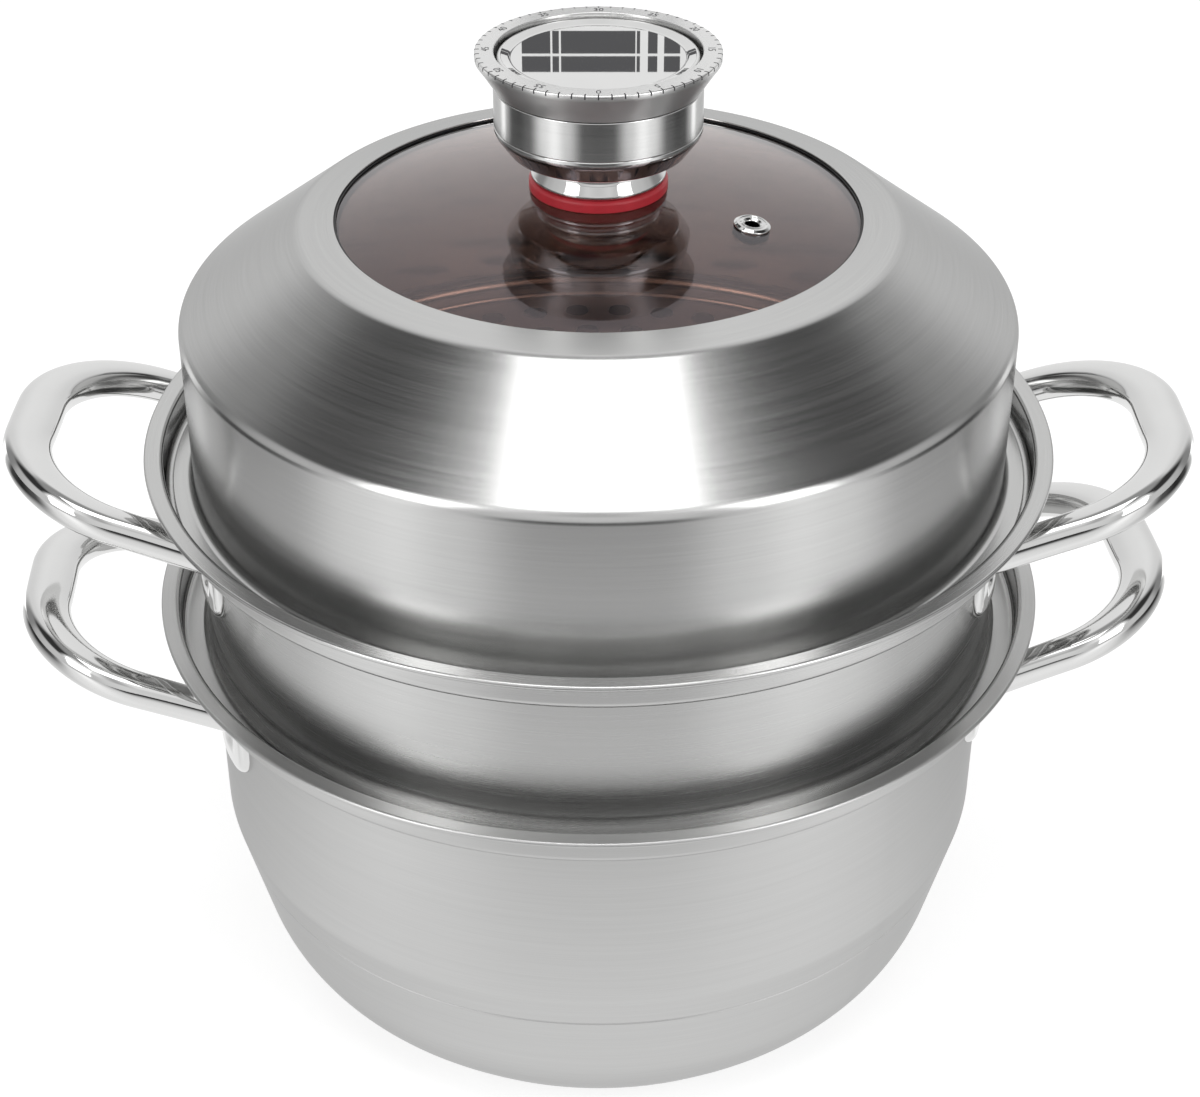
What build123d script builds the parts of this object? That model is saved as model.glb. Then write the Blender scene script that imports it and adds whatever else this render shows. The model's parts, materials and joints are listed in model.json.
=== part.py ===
from build123d import *
import os
from math import acos, atan2, cos, degrees, pi, radians, sin, sqrt, tan

# A stovetop food steamer: pot, steam tier, tray, glass lid and wind-up timer knob.
# Millimetres, +Z up, origin at the centre of the pot's base, handles along X.

# Pressed steel and the rims that stack
sheet = 0.8                 # thickness of every pressed shell
fit_gap = 0.8               # radial play of one piece inside the next
running_gap = 0.05          # radial play of a pivot in its hole
part_gap = 0.3              # air left between pieces that move past each other
rim_radius = 150.0          # outer edge of the pot's and the tier's rim
rim_width = 5.4             # flat top of a rim
rim_edge = 1.8              # diameter of the rolled edge
rim_bend = 1.0              # bend between a rim and the wall below it
seat_width = 10.8           # step inside a rim on which the next piece stands
seat_drop = 11.5            # rim down to that step
seat_bend = 2.0             # bends at both sides of the step
bend_share = 0.45           # most of a run that the bend at one of its ends may take up
least_bend = 1.1            # tightest inside bend, in thicknesses of its sheet

# Pot
pot_height = 147.0
base_radius = 105.0         # flat ring that meets the hob
base_cap_sheet = 0.8
base_core_height = 5.0      # aluminium between the cap and the pot's own bottom
base_bend = 5.0
base_cap_bend = 1.6
core_play = 1.6             # core's edge to the cap's rising side
belly_radius = 122.0        # where the rounded bottom turns into the taper
belly_height = 18.8
belly_bend = 50.0
taper_height = 67.5         # top of the taper, where the straight wall starts
taper_bend = 14.0

# Tier
tier_rise = 57.0            # pot rim to tier rim
foot_flare = 4.0            # bead round the tier's foot, beyond its wall
foot_height = 7.0
foot_bend = 1.6
spigot_depth = 8.0          # part of the tier that reaches below the pot's step
spigot_bend = 4.0

# Steam tray
tray_depth = 8.3            # flange down to the perforated plate
tray_bend = 3.0

# Steam holes in the tier's floor and in the tray
hole_radius = 4.5
hole_pitch = 16.0
hole_margin = 14.0          # from the last ring of holes to the wall

# Lid
lid_play = 2.4              # lid's foot to the inside of the tier's rim
lid_swell = 0.7             # lid's wall beyond the tier's wall
lid_foot_bend = 2.5
shoulder_height = 57.4      # tier's step to the corner of the shoulder
shoulder_bend = 5.0
crown_radius = 95.5         # top of the cone
crown_height = 86.6         # tier's step to that corner
crown_bend = 6.0
crown_rise = 1.8            # crown's climb towards the glass
glass_radius = 83.4         # visible edge of the glass
glass_cover = 4.0           # width of glass held under the crown
glass_thickness = 4.0
glass_edge_drop = 1.3       # crown's inner edge down to the glass
dome_rise = 10.2
seal_width = 0.8            # silicone beyond the glass's edge
seal_leg = 0.7              # silicone under the glass
retainer_width = 4.2        # weld flange of the ring under the glass
retainer_foot_bend = 0.96
retainer_web_bend = 0.4

# Steam vent in the glass
vent_distance = 52.3
vent_azimuth = -26.0
vent_radius = 5.75
vent_hole_radius = 2.25
vent_tube_radius = 3.1
vent_flange_height = 1.3
vent_washer_height = 1.0

# Knob's outside
gasket_radius = 21.8
gasket_height = 4.3
knob_sheet = 1.0
neck_foot_radius = 22.0     # corner of the foot, before it is bent
neck_radius = 18.4          # top of the neck, under the bowl
neck_height = 5.4
neck_foot_bend = 1.2
neck_top_bend = 2.0
bowl_radius = 27.8          # corner between the bowl's floor and its side
bowl_floor_rise = 3.8
bowl_side_rise = 5.2
bowl_lip = 2.0
bowl_bend = 6.0
drum_radius = 32.4
drum_height = 12.5
drum_shelf = 3.0            # inward shelf that carries the movement
dial_radius = 37.8
dial_height = 10.5
dial_cove_radius = 34.7     # waist of the cove under the dial's edge
dial_cove_height = 3.7
dial_edge = 1.6             # straight edge above the cove
dial_face = 5.9             # width of the graduated face
dial_round = 0.6
dial_web = 1.2
dial_web_rise = 3.0
dial_hub_radius = 4.4
dial_hub_drop = 1.5         # hub below the web
cap_gap = 0.8               # groove between the dial's ring and its cap
cap_drop = 1.4              # cap's rim below the graduated face
cap_lip = 1.3               # flat lip round the dish
cap_slope = 2.6             # width of the slope from the lip to the flat mirror
cap_dish = 1.0              # mirror below the lip
cap_bend = 1.2

# Knob's fastening through the glass
screw_radius = 2.5
screw_head_radius = 5.5
screw_head_height = 3.0
glass_hole_radius = 4.0
knob_washer_radius = 8.0
knob_washer_height = 1.0
inner_gasket_height = 1.4
nut_radius = 5.2
nut_height = 4.0

# Timer movement between two plates
plate_height = 1.2
plate_spacing = 8.8
pillar_radius = 1.8
pillar_inset = 3.6          # pillar's axis from the plate's edge
pillar_azimuths = (100, 220, 340)
arbor_radius = 2.0
arbor_pivot_radius = 1.4
train_shaft_radius = 1.0
train_pivot_radius = 0.6
layer_gap = 0.5             # first wheel above the base plate
wheel_height = 1.0
pinion_height = 1.6
pinion_drop = 0.3           # pinion's lower face below the wheel that drives it
layer_pitch = 1.8           # one wheel's layer to the next
main_teeth = 48
second_pinion_teeth = 12
main_module = 0.5
second_teeth = 40
escape_pinion_teeth = 10
second_module = 0.45
tooth_fill = 0.40           # share of half a tooth pitch that is metal
tooth_tip = 0.75            # tooth above the pitch circle, in modules
tooth_root = 1.15           # tooth below it
tooth_slope = 0.36          # tangent of the pressure angle
escape_teeth = 15
escape_radius = 7.0
escape_root = 1.7
escape_rake = 0.3           # place of a tooth's root, as a share of the pitch
escape_azimuth = 90.0       # from the second wheel to the escape wheel
pallet_reach = 11.0
pallet_azimuth = 130.0      # from the escape wheel to the pallet
pallet_spread = 45.0
pallet_clearance = 1.1      # pins outside the escape wheel's tips
pallet_arm = 1.2
pallet_pin_radius = 0.4
pallet_pin_height = 1.8
pallet_hub_radius = 1.6
spring_turns = 5
spring_pitch = 1.1
spring_strip = 0.3
spring_height = 4.6
spring_post_radius = 0.9
spring_points_per_turn = 12

# Bell under the movement
bell_sheet = 0.8
bell_floor_radius = 15.0
bell_mouth_radius = 19.0
bell_depth = 6.0
bell_bend = 3.0
bell_drop = 3.5             # bell's mouth below the base plate
bell_post_radius = 1.5
bell_head_radius = 3.0
bell_head_height = 1.2
hammer_pivot_distance = 13.0
hammer_pivot_azimuth = -60.0
hammer_head_radius = 1.3
hammer_head_gap = 0.7       # hammer's head to the bell at rest
hammer_arm = 1.6
hammer_height = 1.5
hammer_hub_radius = 1.8
hammer_stud_radius = 0.8

# Handles
handle_tilt = 19.4          # climb of the loop from the wall
handle_drop = 23.0          # legs below their own rim, at the wall
handle_span = 49.5          # legs either side of the middle, at the wall
handle_reach = 67.5         # wall to the middle of the grip, along the tilt
handle_grip = 44.7          # half the grip, corner to corner
handle_bend = 37.5
handle_leg_width = 10.5
handle_grip_width = 16.4
handle_thickness = 11.2
pad_drop = 7.0              # middle of a pad below its leg
pad_width = 23.0
pad_height = 24.0
pad_thickness = 2.8
pad_round = 6.0
pot_turn = 3.9              # the pot stands turned under the tier by this

# Levels and radii that follow
drop_radius = rim_radius - rim_width
wall_radius = drop_radius - seat_width
pot_seat = pot_height - seat_drop
tier_rim = pot_height + tier_rise
tier_seat = tier_rim - seat_drop
spigot_radius = wall_radius - sheet - fit_gap
tray_top = tier_seat + sheet
pot_floor = base_cap_sheet + base_core_height
lid_radius = wall_radius + lid_swell
crown_inner = tier_seat + crown_height + crown_rise
glass_edge = crown_inner - glass_edge_drop
glass_sphere = (glass_radius ** 2 + dome_rise ** 2) / (2 * dome_rise)
glass_top = glass_edge + dome_rise
glass_centre = glass_top - glass_sphere
glass_reach = glass_radius + glass_cover
gasket_top = glass_top + gasket_height
bowl_floor = gasket_top + neck_height
drum_bottom = bowl_floor + bowl_floor_rise + bowl_side_rise + bowl_lip
drum_top = drum_bottom + drum_height
dial_bottom = drum_top + part_gap
dial_top = dial_bottom + dial_height
cap_seat = dial_bottom + dial_web_rise + dial_web
cap_radius = dial_radius - dial_face - cap_gap
base_plate_bottom = drum_bottom + knob_sheet
base_plate_top = base_plate_bottom + plate_height
top_plate_bottom = base_plate_top + plate_spacing
plate_radius = drum_radius - knob_sheet - part_gap
main_layer = base_plate_top + layer_gap
second_layer = main_layer + layer_pitch
escape_layer = second_layer + layer_pitch
bell_mouth = base_plate_bottom - bell_drop
bell_floor = bell_mouth - bell_depth


def run_between(start, end):
    """Unit vector from one point of a section to the next."""
    return (Vector(*end) - Vector(*start)).normalized()


def set_over(points, distance):
    """The same polyline moved sideways, to the left of its run, with mitred corners."""
    runs = [run_between(a, b) for a, b in zip(points, points[1:])]
    normals = [Vector(-run.Y, run.X) for run in runs]
    moved = [Vector(*points[0]) + normals[0] * distance]
    for corner, before, after in zip(points[1:-1], normals, normals[1:]):
        moved.append(Vector(*corner) + (before + after) * (distance / (1 + before.dot(after))))
    moved.append(Vector(*points[-1]) + normals[-1] * distance)
    return moved


def allowed_bends(points, bends, thickness):
    """Bends of both faces of a sheet, each no larger than its two runs leave room for."""
    near, far = [], []
    for before, corner, after, bend in zip(points, points[1:], points[2:], bends):
        first = run_between(before, corner)
        second = run_between(corner, after)
        half_turn = acos(max(-1, min(1, first.dot(second)))) / 2
        run_in = (Vector(*corner) - Vector(*before)).length
        run_out = (Vector(*after) - Vector(*corner)).length
        largest = bend_share * min(run_in, run_out) / tan(half_turn)
        turns_left = first.cross(second).Z > 0
        near_bend = min(bend, largest)
        if turns_left:
            near_bend = max(near_bend, thickness * least_bend)
        near.append(near_bend)
        far.append(near_bend - thickness if turns_left else near_bend + thickness)
    return near, far


def sheet_section(points, bends, thickness):
    """Section of a bent sheet: its outside as (radius, height) points, its thickness to the left."""
    near_bends, far_bends = allowed_bends(points, bends, thickness)
    near = FilletPolyline(*points, radius=near_bends)
    far = FilletPolyline(*set_over(points, thickness), radius=far_bends)
    ends = [Line(near @ 0, far @ 0), Line(near @ 1, far @ 1)]
    return make_face([*near.edges(), *far.edges(), *ends])


def spun(section):
    """Turn a section of (radius, height) about the vertical axis."""
    return revolve(Plane.XZ * section, Axis.Z)


def pressed(points, bends, thickness=sheet):
    """Spun shell of bent sheet."""
    return spun(sheet_section(points, bends, thickness))


def disc(radius, bottom, height):
    """Upright cylinder standing at a level."""
    return Pos(0, 0, bottom) * Cylinder(radius, height, align=(Align.CENTER, Align.CENTER, Align.MIN))


def rim_points(rim_top):
    """Outside of the step and rim at the top of the pot or the tier."""
    step = rim_top - seat_drop - sheet
    lip = rim_top - sheet
    return [(wall_radius, step), (drop_radius, step), (drop_radius, lip), (rim_radius - rim_edge / 2, lip)]


rim_bends = [seat_bend, seat_bend + sheet, rim_bend]


def with_rolled_edge(section, rim_top):
    """Add the rolled edge round a rim."""
    return section + Pos(rim_radius - rim_edge / 2, rim_top - rim_edge / 2) * Circle(rim_edge / 2)


def steam_holes(outer_radius, bottom, height):
    """Rings of round holes, evenly spaced out to the last ring."""
    rings = int(outer_radius // hole_pitch)
    step = outer_radius / rings
    holes = Circle(hole_radius)
    for ring in range(1, rings + 1):
        count = int(2 * pi * ring * step / hole_pitch)
        holes += PolarLocations(ring * step, count) * Circle(hole_radius)
    return extrude(Pos(0, 0, bottom) * holes, height)


# Pot

def base_line(height):
    """Radius of the rounded bottom's lower slope at a height above the hob."""
    return base_radius + (belly_radius - base_radius) * height / belly_height


def make_pot_shell():
    points = [(0, pot_floor), (base_line(pot_floor), pot_floor), (belly_radius, belly_height)]
    points += [(wall_radius, taper_height), *rim_points(pot_height)]
    section = sheet_section(points, [base_bend, belly_bend, taper_bend, *rim_bends], sheet)
    return spun(with_rolled_edge(section, pot_height))


def make_pot_base_cap():
    edge = pot_floor - base_cap_sheet
    points = [(0, 0), (base_radius, 0), (base_line(edge), edge)]
    return pressed(points, [base_cap_bend], base_cap_sheet)


def make_pot_base_core():
    low = base_line(base_cap_sheet) - core_play
    high = base_line(pot_floor) - core_play - base_cap_sheet
    corners = [(0, base_cap_sheet), (low, base_cap_sheet), (high, pot_floor), (0, pot_floor)]
    return spun(Polygon(*corners, align=None))


# Handles

def make_handle(rim_top):
    """Loop on the +X side: a flat oval bar, wider at the grip, with a pad at each end."""
    leg_level = rim_top - handle_drop
    pad_level = leg_level - pad_drop
    wall_x = sqrt(wall_radius ** 2 - handle_span ** 2)
    tilt = radians(handle_tilt)
    loop = Plane((wall_x, 0, leg_level), x_dir=(cos(tilt), 0, sin(tilt)), z_dir=(-sin(tilt), 0, cos(tilt)))
    root = -handle_thickness
    near_leg = [(root, -handle_span), (handle_reach, -handle_grip)]
    far_leg = [(handle_reach, handle_grip), (root, handle_span)]
    path = loop * FilletPolyline(*near_leg, *far_leg, radius=handle_bend)
    sections = []
    for place, width in ((0, handle_leg_width), (0.5, handle_grip_width), (1, handle_leg_width)):
        across = Plane(path @ place, x_dir=loop.z_dir, z_dir=path % place)
        sections.append(across * Ellipse(handle_thickness / 2, width / 2))
    bar = sweep(sections, path, multisection=True)
    ring_height = 2 * pad_height
    ring = disc(wall_radius + pad_thickness, pad_level - pad_height, ring_height)
    pads = Part()
    for end in (-1, 1):
        azimuth = atan2(end * handle_span, wall_x)
        along = (-sin(azimuth), cos(azimuth), 0)
        outward = (cos(azimuth), sin(azimuth), 0)
        facing = Plane((0, 0, pad_level), x_dir=along, z_dir=outward)
        outline = facing * RectangleRounded(pad_width, pad_height, pad_round)
        pads += extrude(outline, rim_radius) & ring
    return (bar + pads) - disc(wall_radius, 0, 2 * rim_top)


def opposite(piece):
    """The same piece on the other side of the axis."""
    return Rot(0, 0, 180) * piece


# Tier and tray

def make_tier_shell():
    floor = pot_seat - spigot_depth
    points = [(0, floor), (spigot_radius, floor), (spigot_radius, pot_seat)]
    points += [(wall_radius + foot_flare, pot_seat), (wall_radius, pot_seat + foot_height)]
    points += rim_points(tier_rim)
    bends = [spigot_bend, seat_bend, foot_bend, foot_height, *rim_bends]
    shell = spun(with_rolled_edge(sheet_section(points, bends, sheet), tier_rim))
    return shell - steam_holes(spigot_radius - hole_margin, floor - sheet, 3 * sheet)


def make_steam_tray():
    plate = tray_top - sheet - tray_depth
    flange_radius = drop_radius - sheet - seat_bend - part_gap
    points = [(0, plate), (spigot_radius, plate), (spigot_radius, tier_seat), (flange_radius, tier_seat)]
    tray = pressed(points, [tray_bend, seat_bend + sheet + fit_gap])
    return tray - steam_holes(spigot_radius - hole_margin, plate - sheet, 3 * sheet)


# Lid and its glass

def crown_underside(radius):
    """Level of the crown's lower face."""
    slope = crown_rise / (crown_radius - glass_radius)
    return crown_inner - slope * (radius - glass_radius) - sheet * sqrt(1 + slope ** 2)


def make_lid_shell():
    foot_radius = drop_radius - sheet - lid_play
    foot_top = tray_top + sheet
    points = [(foot_radius, foot_top), (lid_radius, foot_top), (lid_radius, tier_seat + shoulder_height)]
    points += [(crown_radius, tier_seat + crown_height), (glass_radius, crown_inner)]
    return pressed(points, [lid_foot_bend, shoulder_bend, crown_bend])


def glass_section(play):
    """Half of the dome's section between two concentric spheres, larger all round by the play."""
    reach = glass_reach + play
    outer = Pos(0, glass_centre) * Circle(glass_sphere + play)
    inner = Pos(0, glass_centre) * Circle(glass_sphere - glass_thickness - play)
    strip = Pos(reach / 2, glass_top) * Rectangle(reach, 4 * (dome_rise + glass_thickness))
    return (outer - inner) & strip


def vent_plane():
    """Plane on the dome at the vent, facing out along the dome's radius."""
    azimuth = radians(vent_azimuth)
    rise = sqrt(glass_sphere ** 2 - vent_distance ** 2)
    offset = Vector(vent_distance * cos(azimuth), vent_distance * sin(azimuth), rise)
    return Plane(Vector(0, 0, glass_centre) + offset, z_dir=offset.normalized())


def make_lid_glass():
    glass = spun(glass_section(0))
    glass -= disc(glass_hole_radius, 0, 2 * glass_top)
    return glass - vent_plane() * Cylinder(vent_tube_radius + running_gap, 4 * glass_thickness)


def glass_underside(radius):
    """Level of the dome's inner face."""
    inner = glass_sphere - glass_thickness
    return glass_centre + sqrt(inner ** 2 - radius ** 2)


def seal_underside(radius):
    """Level of the seal's lower face, a cone under the glass's edge."""
    slope = (glass_underside(glass_reach) - glass_underside(glass_radius)) / glass_cover
    return glass_underside(glass_radius) + slope * (radius - glass_radius) - seal_leg


def make_glass_seal():
    outer = glass_reach + seal_width
    inner = glass_radius - seal_width / 2
    top = [(outer, crown_underside(outer)), (inner, crown_underside(inner))]
    bottom = [(inner, seal_underside(inner)), (outer, seal_underside(outer))]
    return spun(Polygon(*top, *bottom, align=None) - glass_section(running_gap))


def make_glass_retaining_ring():
    inner = glass_radius + seal_width / 2
    web = glass_reach + seal_width + part_gap + sheet
    edge = web + retainer_width
    lift = sheet + running_gap
    points = [(inner, seal_underside(inner) - lift), (web, seal_underside(web) - lift)]
    points += [(web, crown_underside(web) - lift), (edge, crown_underside(edge) - lift)]
    return pressed(points, [retainer_foot_bend, retainer_web_bend])


def make_vent_eyelet():
    length = glass_thickness + vent_washer_height + vent_flange_height
    flange = Cylinder(vent_radius, vent_flange_height, align=(Align.CENTER, Align.CENTER, Align.MIN))
    flange = fillet(flange.edges().group_by(Axis.Z)[-1], vent_flange_height / 2)
    tube = Cylinder(vent_tube_radius, length, align=(Align.CENTER, Align.CENTER, Align.MAX))
    hole = Cylinder(vent_hole_radius, 4 * length)
    return vent_plane() * (flange + tube - hole)


def make_vent_washer():
    sag = vent_radius ** 2 / (2 * (glass_sphere - glass_thickness))
    washer = Cylinder(vent_radius, vent_washer_height, align=(Align.CENTER, Align.CENTER, Align.MAX))
    bore = Cylinder(vent_tube_radius, 4 * vent_washer_height)
    return vent_plane() * Pos(0, 0, -glass_thickness - sag) * (washer - bore)


# Knob's outside

def make_knob_gasket():
    gasket = disc(gasket_radius, glass_top - gasket_height, 2 * gasket_height)
    gasket -= Pos(0, 0, glass_centre) * Sphere(glass_sphere)
    return gasket - disc(glass_hole_radius, 0, 2 * gasket_top)


def make_knob_neck():
    side = bowl_floor + bowl_floor_rise
    points = [(screw_radius, gasket_top), (neck_foot_radius, gasket_top), (neck_radius, bowl_floor)]
    points += [(bowl_radius, side), (drum_radius, side + bowl_side_rise), (drum_radius, drum_bottom)]
    return pressed(points, [neck_foot_bend, neck_top_bend, bowl_bend, bowl_bend], knob_sheet)


def make_knob_drum():
    drum = disc(drum_radius, drum_bottom, drum_height)
    drum -= disc(drum_radius - knob_sheet, base_plate_bottom, 2 * drum_height)
    return drum - disc(drum_radius - knob_sheet - drum_shelf, 0, 2 * drum_top)


def make_dial_ring():
    inner = dial_radius - dial_face
    skirt = drum_radius - knob_sheet
    edge_bottom = dial_top - dial_round - dial_edge
    waist = (dial_cove_radius, dial_bottom + dial_cove_height)
    cove = ThreePointArc((drum_radius, dial_bottom), waist, (dial_radius, edge_bottom))
    corner = (dial_radius - dial_round, dial_top)
    rest = [cove @ 1, (dial_radius, dial_top - dial_round), corner, (inner, dial_top), (inner, cap_seat)]
    web_bottom = cap_seat - dial_web
    hub_top = cap_seat + dial_web
    hub_bottom = web_bottom - dial_hub_drop
    rest += [(dial_hub_radius, cap_seat), (dial_hub_radius, hub_top), (arbor_radius, hub_top)]
    rest += [(arbor_radius, hub_bottom), (dial_hub_radius, hub_bottom), (dial_hub_radius, web_bottom)]
    rest += [(skirt, web_bottom), (skirt, dial_bottom), cove @ 0]
    return spun(make_face([cove.edge(), *Polyline(*rest).edges()]))


def make_dial_cap():
    rim = dial_top - cap_drop
    lip = cap_radius - cap_lip
    mirror = rim - cap_dish
    points = [(cap_radius, cap_seat), (cap_radius, rim), (lip, rim), (lip - cap_slope, mirror), (0, mirror)]
    return pressed(points, [cap_bend, cap_bend, cap_bend], knob_sheet)


# Knob's fastening through the glass

under_glass = glass_top - glass_thickness
washer_top = under_glass - inner_gasket_height
screw_seat = washer_top - knob_washer_height


def make_knob_inner_gasket():
    gasket = disc(knob_washer_radius, washer_top, 2 * inner_gasket_height)
    gasket &= Pos(0, 0, glass_centre) * Sphere(glass_sphere - glass_thickness)
    return gasket - disc(screw_radius, 0, 2 * glass_top)


def make_knob_washer():
    return disc(knob_washer_radius, screw_seat, knob_washer_height) - disc(screw_radius, 0, 2 * glass_top)


def make_knob_screw():
    head = disc(screw_head_radius, screw_seat - screw_head_height, screw_head_height)
    head = fillet(head.edges().group_by(Axis.Z)[0], screw_head_height / 3)
    slot = Box(2 * screw_head_radius, screw_radius / 2, screw_head_height)
    head -= Pos(0, 0, screw_seat - screw_head_height) * slot
    return head + disc(screw_radius, screw_seat, gasket_top + knob_sheet + nut_height - screw_seat)


def make_knob_nut():
    nut = extrude(Pos(0, 0, gasket_top + knob_sheet) * RegularPolygon(nut_radius, 6), nut_height)
    return nut - disc(screw_radius, 0, 2 * gasket_top)


# Timer movement

def polar(distance, azimuth):
    """Point at a distance and an azimuth in degrees."""
    return Vector(distance * cos(radians(azimuth)), distance * sin(radians(azimuth)))


second_place = polar(main_module * (main_teeth + second_pinion_teeth) / 2, 0)
escape_place = second_place + polar(second_module * (second_teeth + escape_pinion_teeth) / 2, escape_azimuth)
pallet_place = escape_place + polar(pallet_reach, pallet_azimuth)
train_places = (second_place, escape_place, pallet_place)
hammer_place = polar(hammer_pivot_distance, hammer_pivot_azimuth)


def gear(teeth, module, height, tooth_azimuth):
    """Spur wheel with straight-sided teeth, one of them centred on the given azimuth."""
    pitch_radius = module * teeth / 2
    half_tooth = tooth_fill * pi / teeth
    tip = pitch_radius + tooth_tip * module
    root = pitch_radius - tooth_root * module
    tip_half = half_tooth - tooth_slope * tooth_tip * module / pitch_radius
    root_half = half_tooth + tooth_slope * tooth_root * module / pitch_radius
    corners = [(root, -root_half), (tip, -tip_half), (tip, tip_half), (root, root_half)]
    outline = []
    for tooth in range(teeth):
        turn = radians(tooth_azimuth) + 2 * pi * tooth / teeth
        outline += [(radius * cos(turn + angle), radius * sin(turn + angle)) for radius, angle in corners]
    return extrude(Polygon(*outline, align=None), height)


def half_pitch(teeth):
    """Angle from a tooth to the gap beside it, in degrees."""
    return 180 / teeth


def at_level(place, level):
    """Location above a point of the plates."""
    return Pos(place.X, place.Y, level)


def train_arbor():
    """Shaft between the plates with a pivot in each."""
    slack = part_gap
    shaft = disc(train_shaft_radius, slack, plate_spacing - 2 * slack)
    return shaft + disc(train_pivot_radius, -plate_height, plate_spacing + 2 * plate_height)


def plate(bottom, centre_radius):
    """Round plate with holes for the main arbor and the train's pivots."""
    blank = disc(plate_radius, bottom, plate_height) - disc(centre_radius + running_gap, 0, 2 * dial_top)
    for place in train_places:
        blank -= at_level(place, 0) * disc(train_pivot_radius + running_gap, 0, 2 * dial_top)
    return blank


def make_movement_base_plate():
    stud_end = bell_mouth - hammer_height - part_gap
    stud = disc(hammer_stud_radius, stud_end, base_plate_bottom - stud_end)
    stud += disc(hammer_hub_radius, stud_end - hammer_stud_radius, hammer_stud_radius)
    return plate(base_plate_bottom, arbor_pivot_radius) + at_level(hammer_place, 0) * stud


def spring_outer_end():
    """Radius of the mainspring's last turn."""
    return arbor_radius + part_gap + spring_strip + spring_turns * spring_pitch


def make_movement_top_plate():
    post = disc(spring_post_radius, top_plate_bottom - spring_height, spring_height)
    place = Vector(spring_outer_end() + spring_post_radius, 0)
    return plate(top_plate_bottom, arbor_radius) + at_level(place, 0) * post


def make_movement_pillars():
    pillar = disc(pillar_radius, base_plate_top, plate_spacing)
    places = [polar(plate_radius - pillar_inset, azimuth) for azimuth in pillar_azimuths]
    return Part() + [at_level(place, 0) * pillar for place in places]


def make_mainspring():
    """Strip wound in an even spiral: the radius grows by one pitch in each turn."""
    start = arbor_radius + part_gap
    steps = spring_turns * spring_points_per_turn
    inside = []
    outside = []
    for step in range(steps + 1):
        azimuth = 360 * step / spring_points_per_turn
        radius = start + spring_pitch * step / spring_points_per_turn
        inside.append(polar(radius, azimuth))
        outside.append(polar(radius + spring_strip, azimuth))
    inner_edge = Spline(*inside)
    outer_edge = Spline(*outside)
    ends = [Line(inside[0], outside[0]), Line(inside[-1], outside[-1])]
    strip = make_face([inner_edge, outer_edge, *ends])
    return extrude(Pos(0, 0, top_plate_bottom - part_gap - spring_height) * strip, spring_height)


def make_main_arbor():
    hub_end = cap_seat + dial_web
    shaft = disc(arbor_radius, base_plate_top + part_gap, hub_end - base_plate_top - part_gap)
    return shaft + disc(arbor_pivot_radius, base_plate_bottom, plate_height + part_gap)


def make_main_wheel():
    wheel = gear(main_teeth, main_module, wheel_height, 0)
    return Pos(0, 0, main_layer) * wheel - disc(arbor_radius, 0, 2 * dial_top)


def make_second_wheel():
    facing = 180 + half_pitch(second_pinion_teeth)
    pinion = gear(second_pinion_teeth, main_module, pinion_height, facing)
    wheel = gear(second_teeth, second_module, wheel_height, escape_azimuth)
    arbor = at_level(second_place, base_plate_top) * train_arbor()
    arbor += at_level(second_place, main_layer - pinion_drop) * pinion
    return arbor + at_level(second_place, second_layer) * wheel


def make_escape_wheel():
    facing = escape_azimuth + 180 + half_pitch(escape_pinion_teeth)
    pinion = gear(escape_pinion_teeth, second_module, pinion_height, facing)
    outline = []
    for tooth in range(escape_teeth):
        outline.append(polar(escape_radius, 360 * tooth / escape_teeth))
        outline.append(polar(escape_radius - escape_root, 360 * (tooth + escape_rake) / escape_teeth))
    wheel = extrude(Polygon(*outline, align=None), wheel_height)
    arbor = at_level(escape_place, base_plate_top) * train_arbor()
    arbor += at_level(escape_place, second_layer - pinion_drop) * pinion
    return arbor + at_level(escape_place, escape_layer) * wheel


def make_pallet():
    """Lever with an arm to either side of the escape wheel and a pin at the end of each."""
    pallet = at_level(pallet_place, base_plate_top) * train_arbor()
    pallet += at_level(pallet_place, 0) * disc(pallet_hub_radius, escape_layer, wheel_height)
    pin_circle = escape_radius + pallet_clearance
    for side in (-1, 1):
        pin = escape_place + polar(pin_circle, pallet_azimuth + side * pallet_spread)
        arm = SlotCenterToCenter((pin - pallet_place).length, pallet_arm)
        middle = (pin + pallet_place) / 2
        heading = degrees(atan2(pin.Y - pallet_place.Y, pin.X - pallet_place.X))
        pallet += extrude(at_level(middle, escape_layer) * Rot(0, 0, heading) * arm, wheel_height)
        pallet += at_level(pin, 0) * disc(pallet_pin_radius, escape_layer, pallet_pin_height)
    return pallet


# Bell

def make_bell():
    points = [(bell_post_radius, bell_floor), (bell_floor_radius, bell_floor)]
    points.append((bell_mouth_radius, bell_mouth))
    return pressed(points, [bell_bend], bell_sheet)


def make_bell_post():
    post = disc(bell_post_radius, bell_floor, base_plate_bottom - bell_floor)
    spacer = disc(bell_head_radius, bell_floor + bell_sheet, base_plate_bottom - bell_floor - bell_sheet)
    return post + spacer + disc(bell_head_radius, bell_floor - bell_head_height, bell_head_height)


def bell_inside(level):
    """Radius of the bell's inner face near its mouth."""
    slope = (bell_mouth_radius - bell_floor_radius) / bell_depth
    return bell_mouth_radius - slope * (bell_mouth - level) - bell_sheet * sqrt(1 + slope ** 2)


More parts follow.
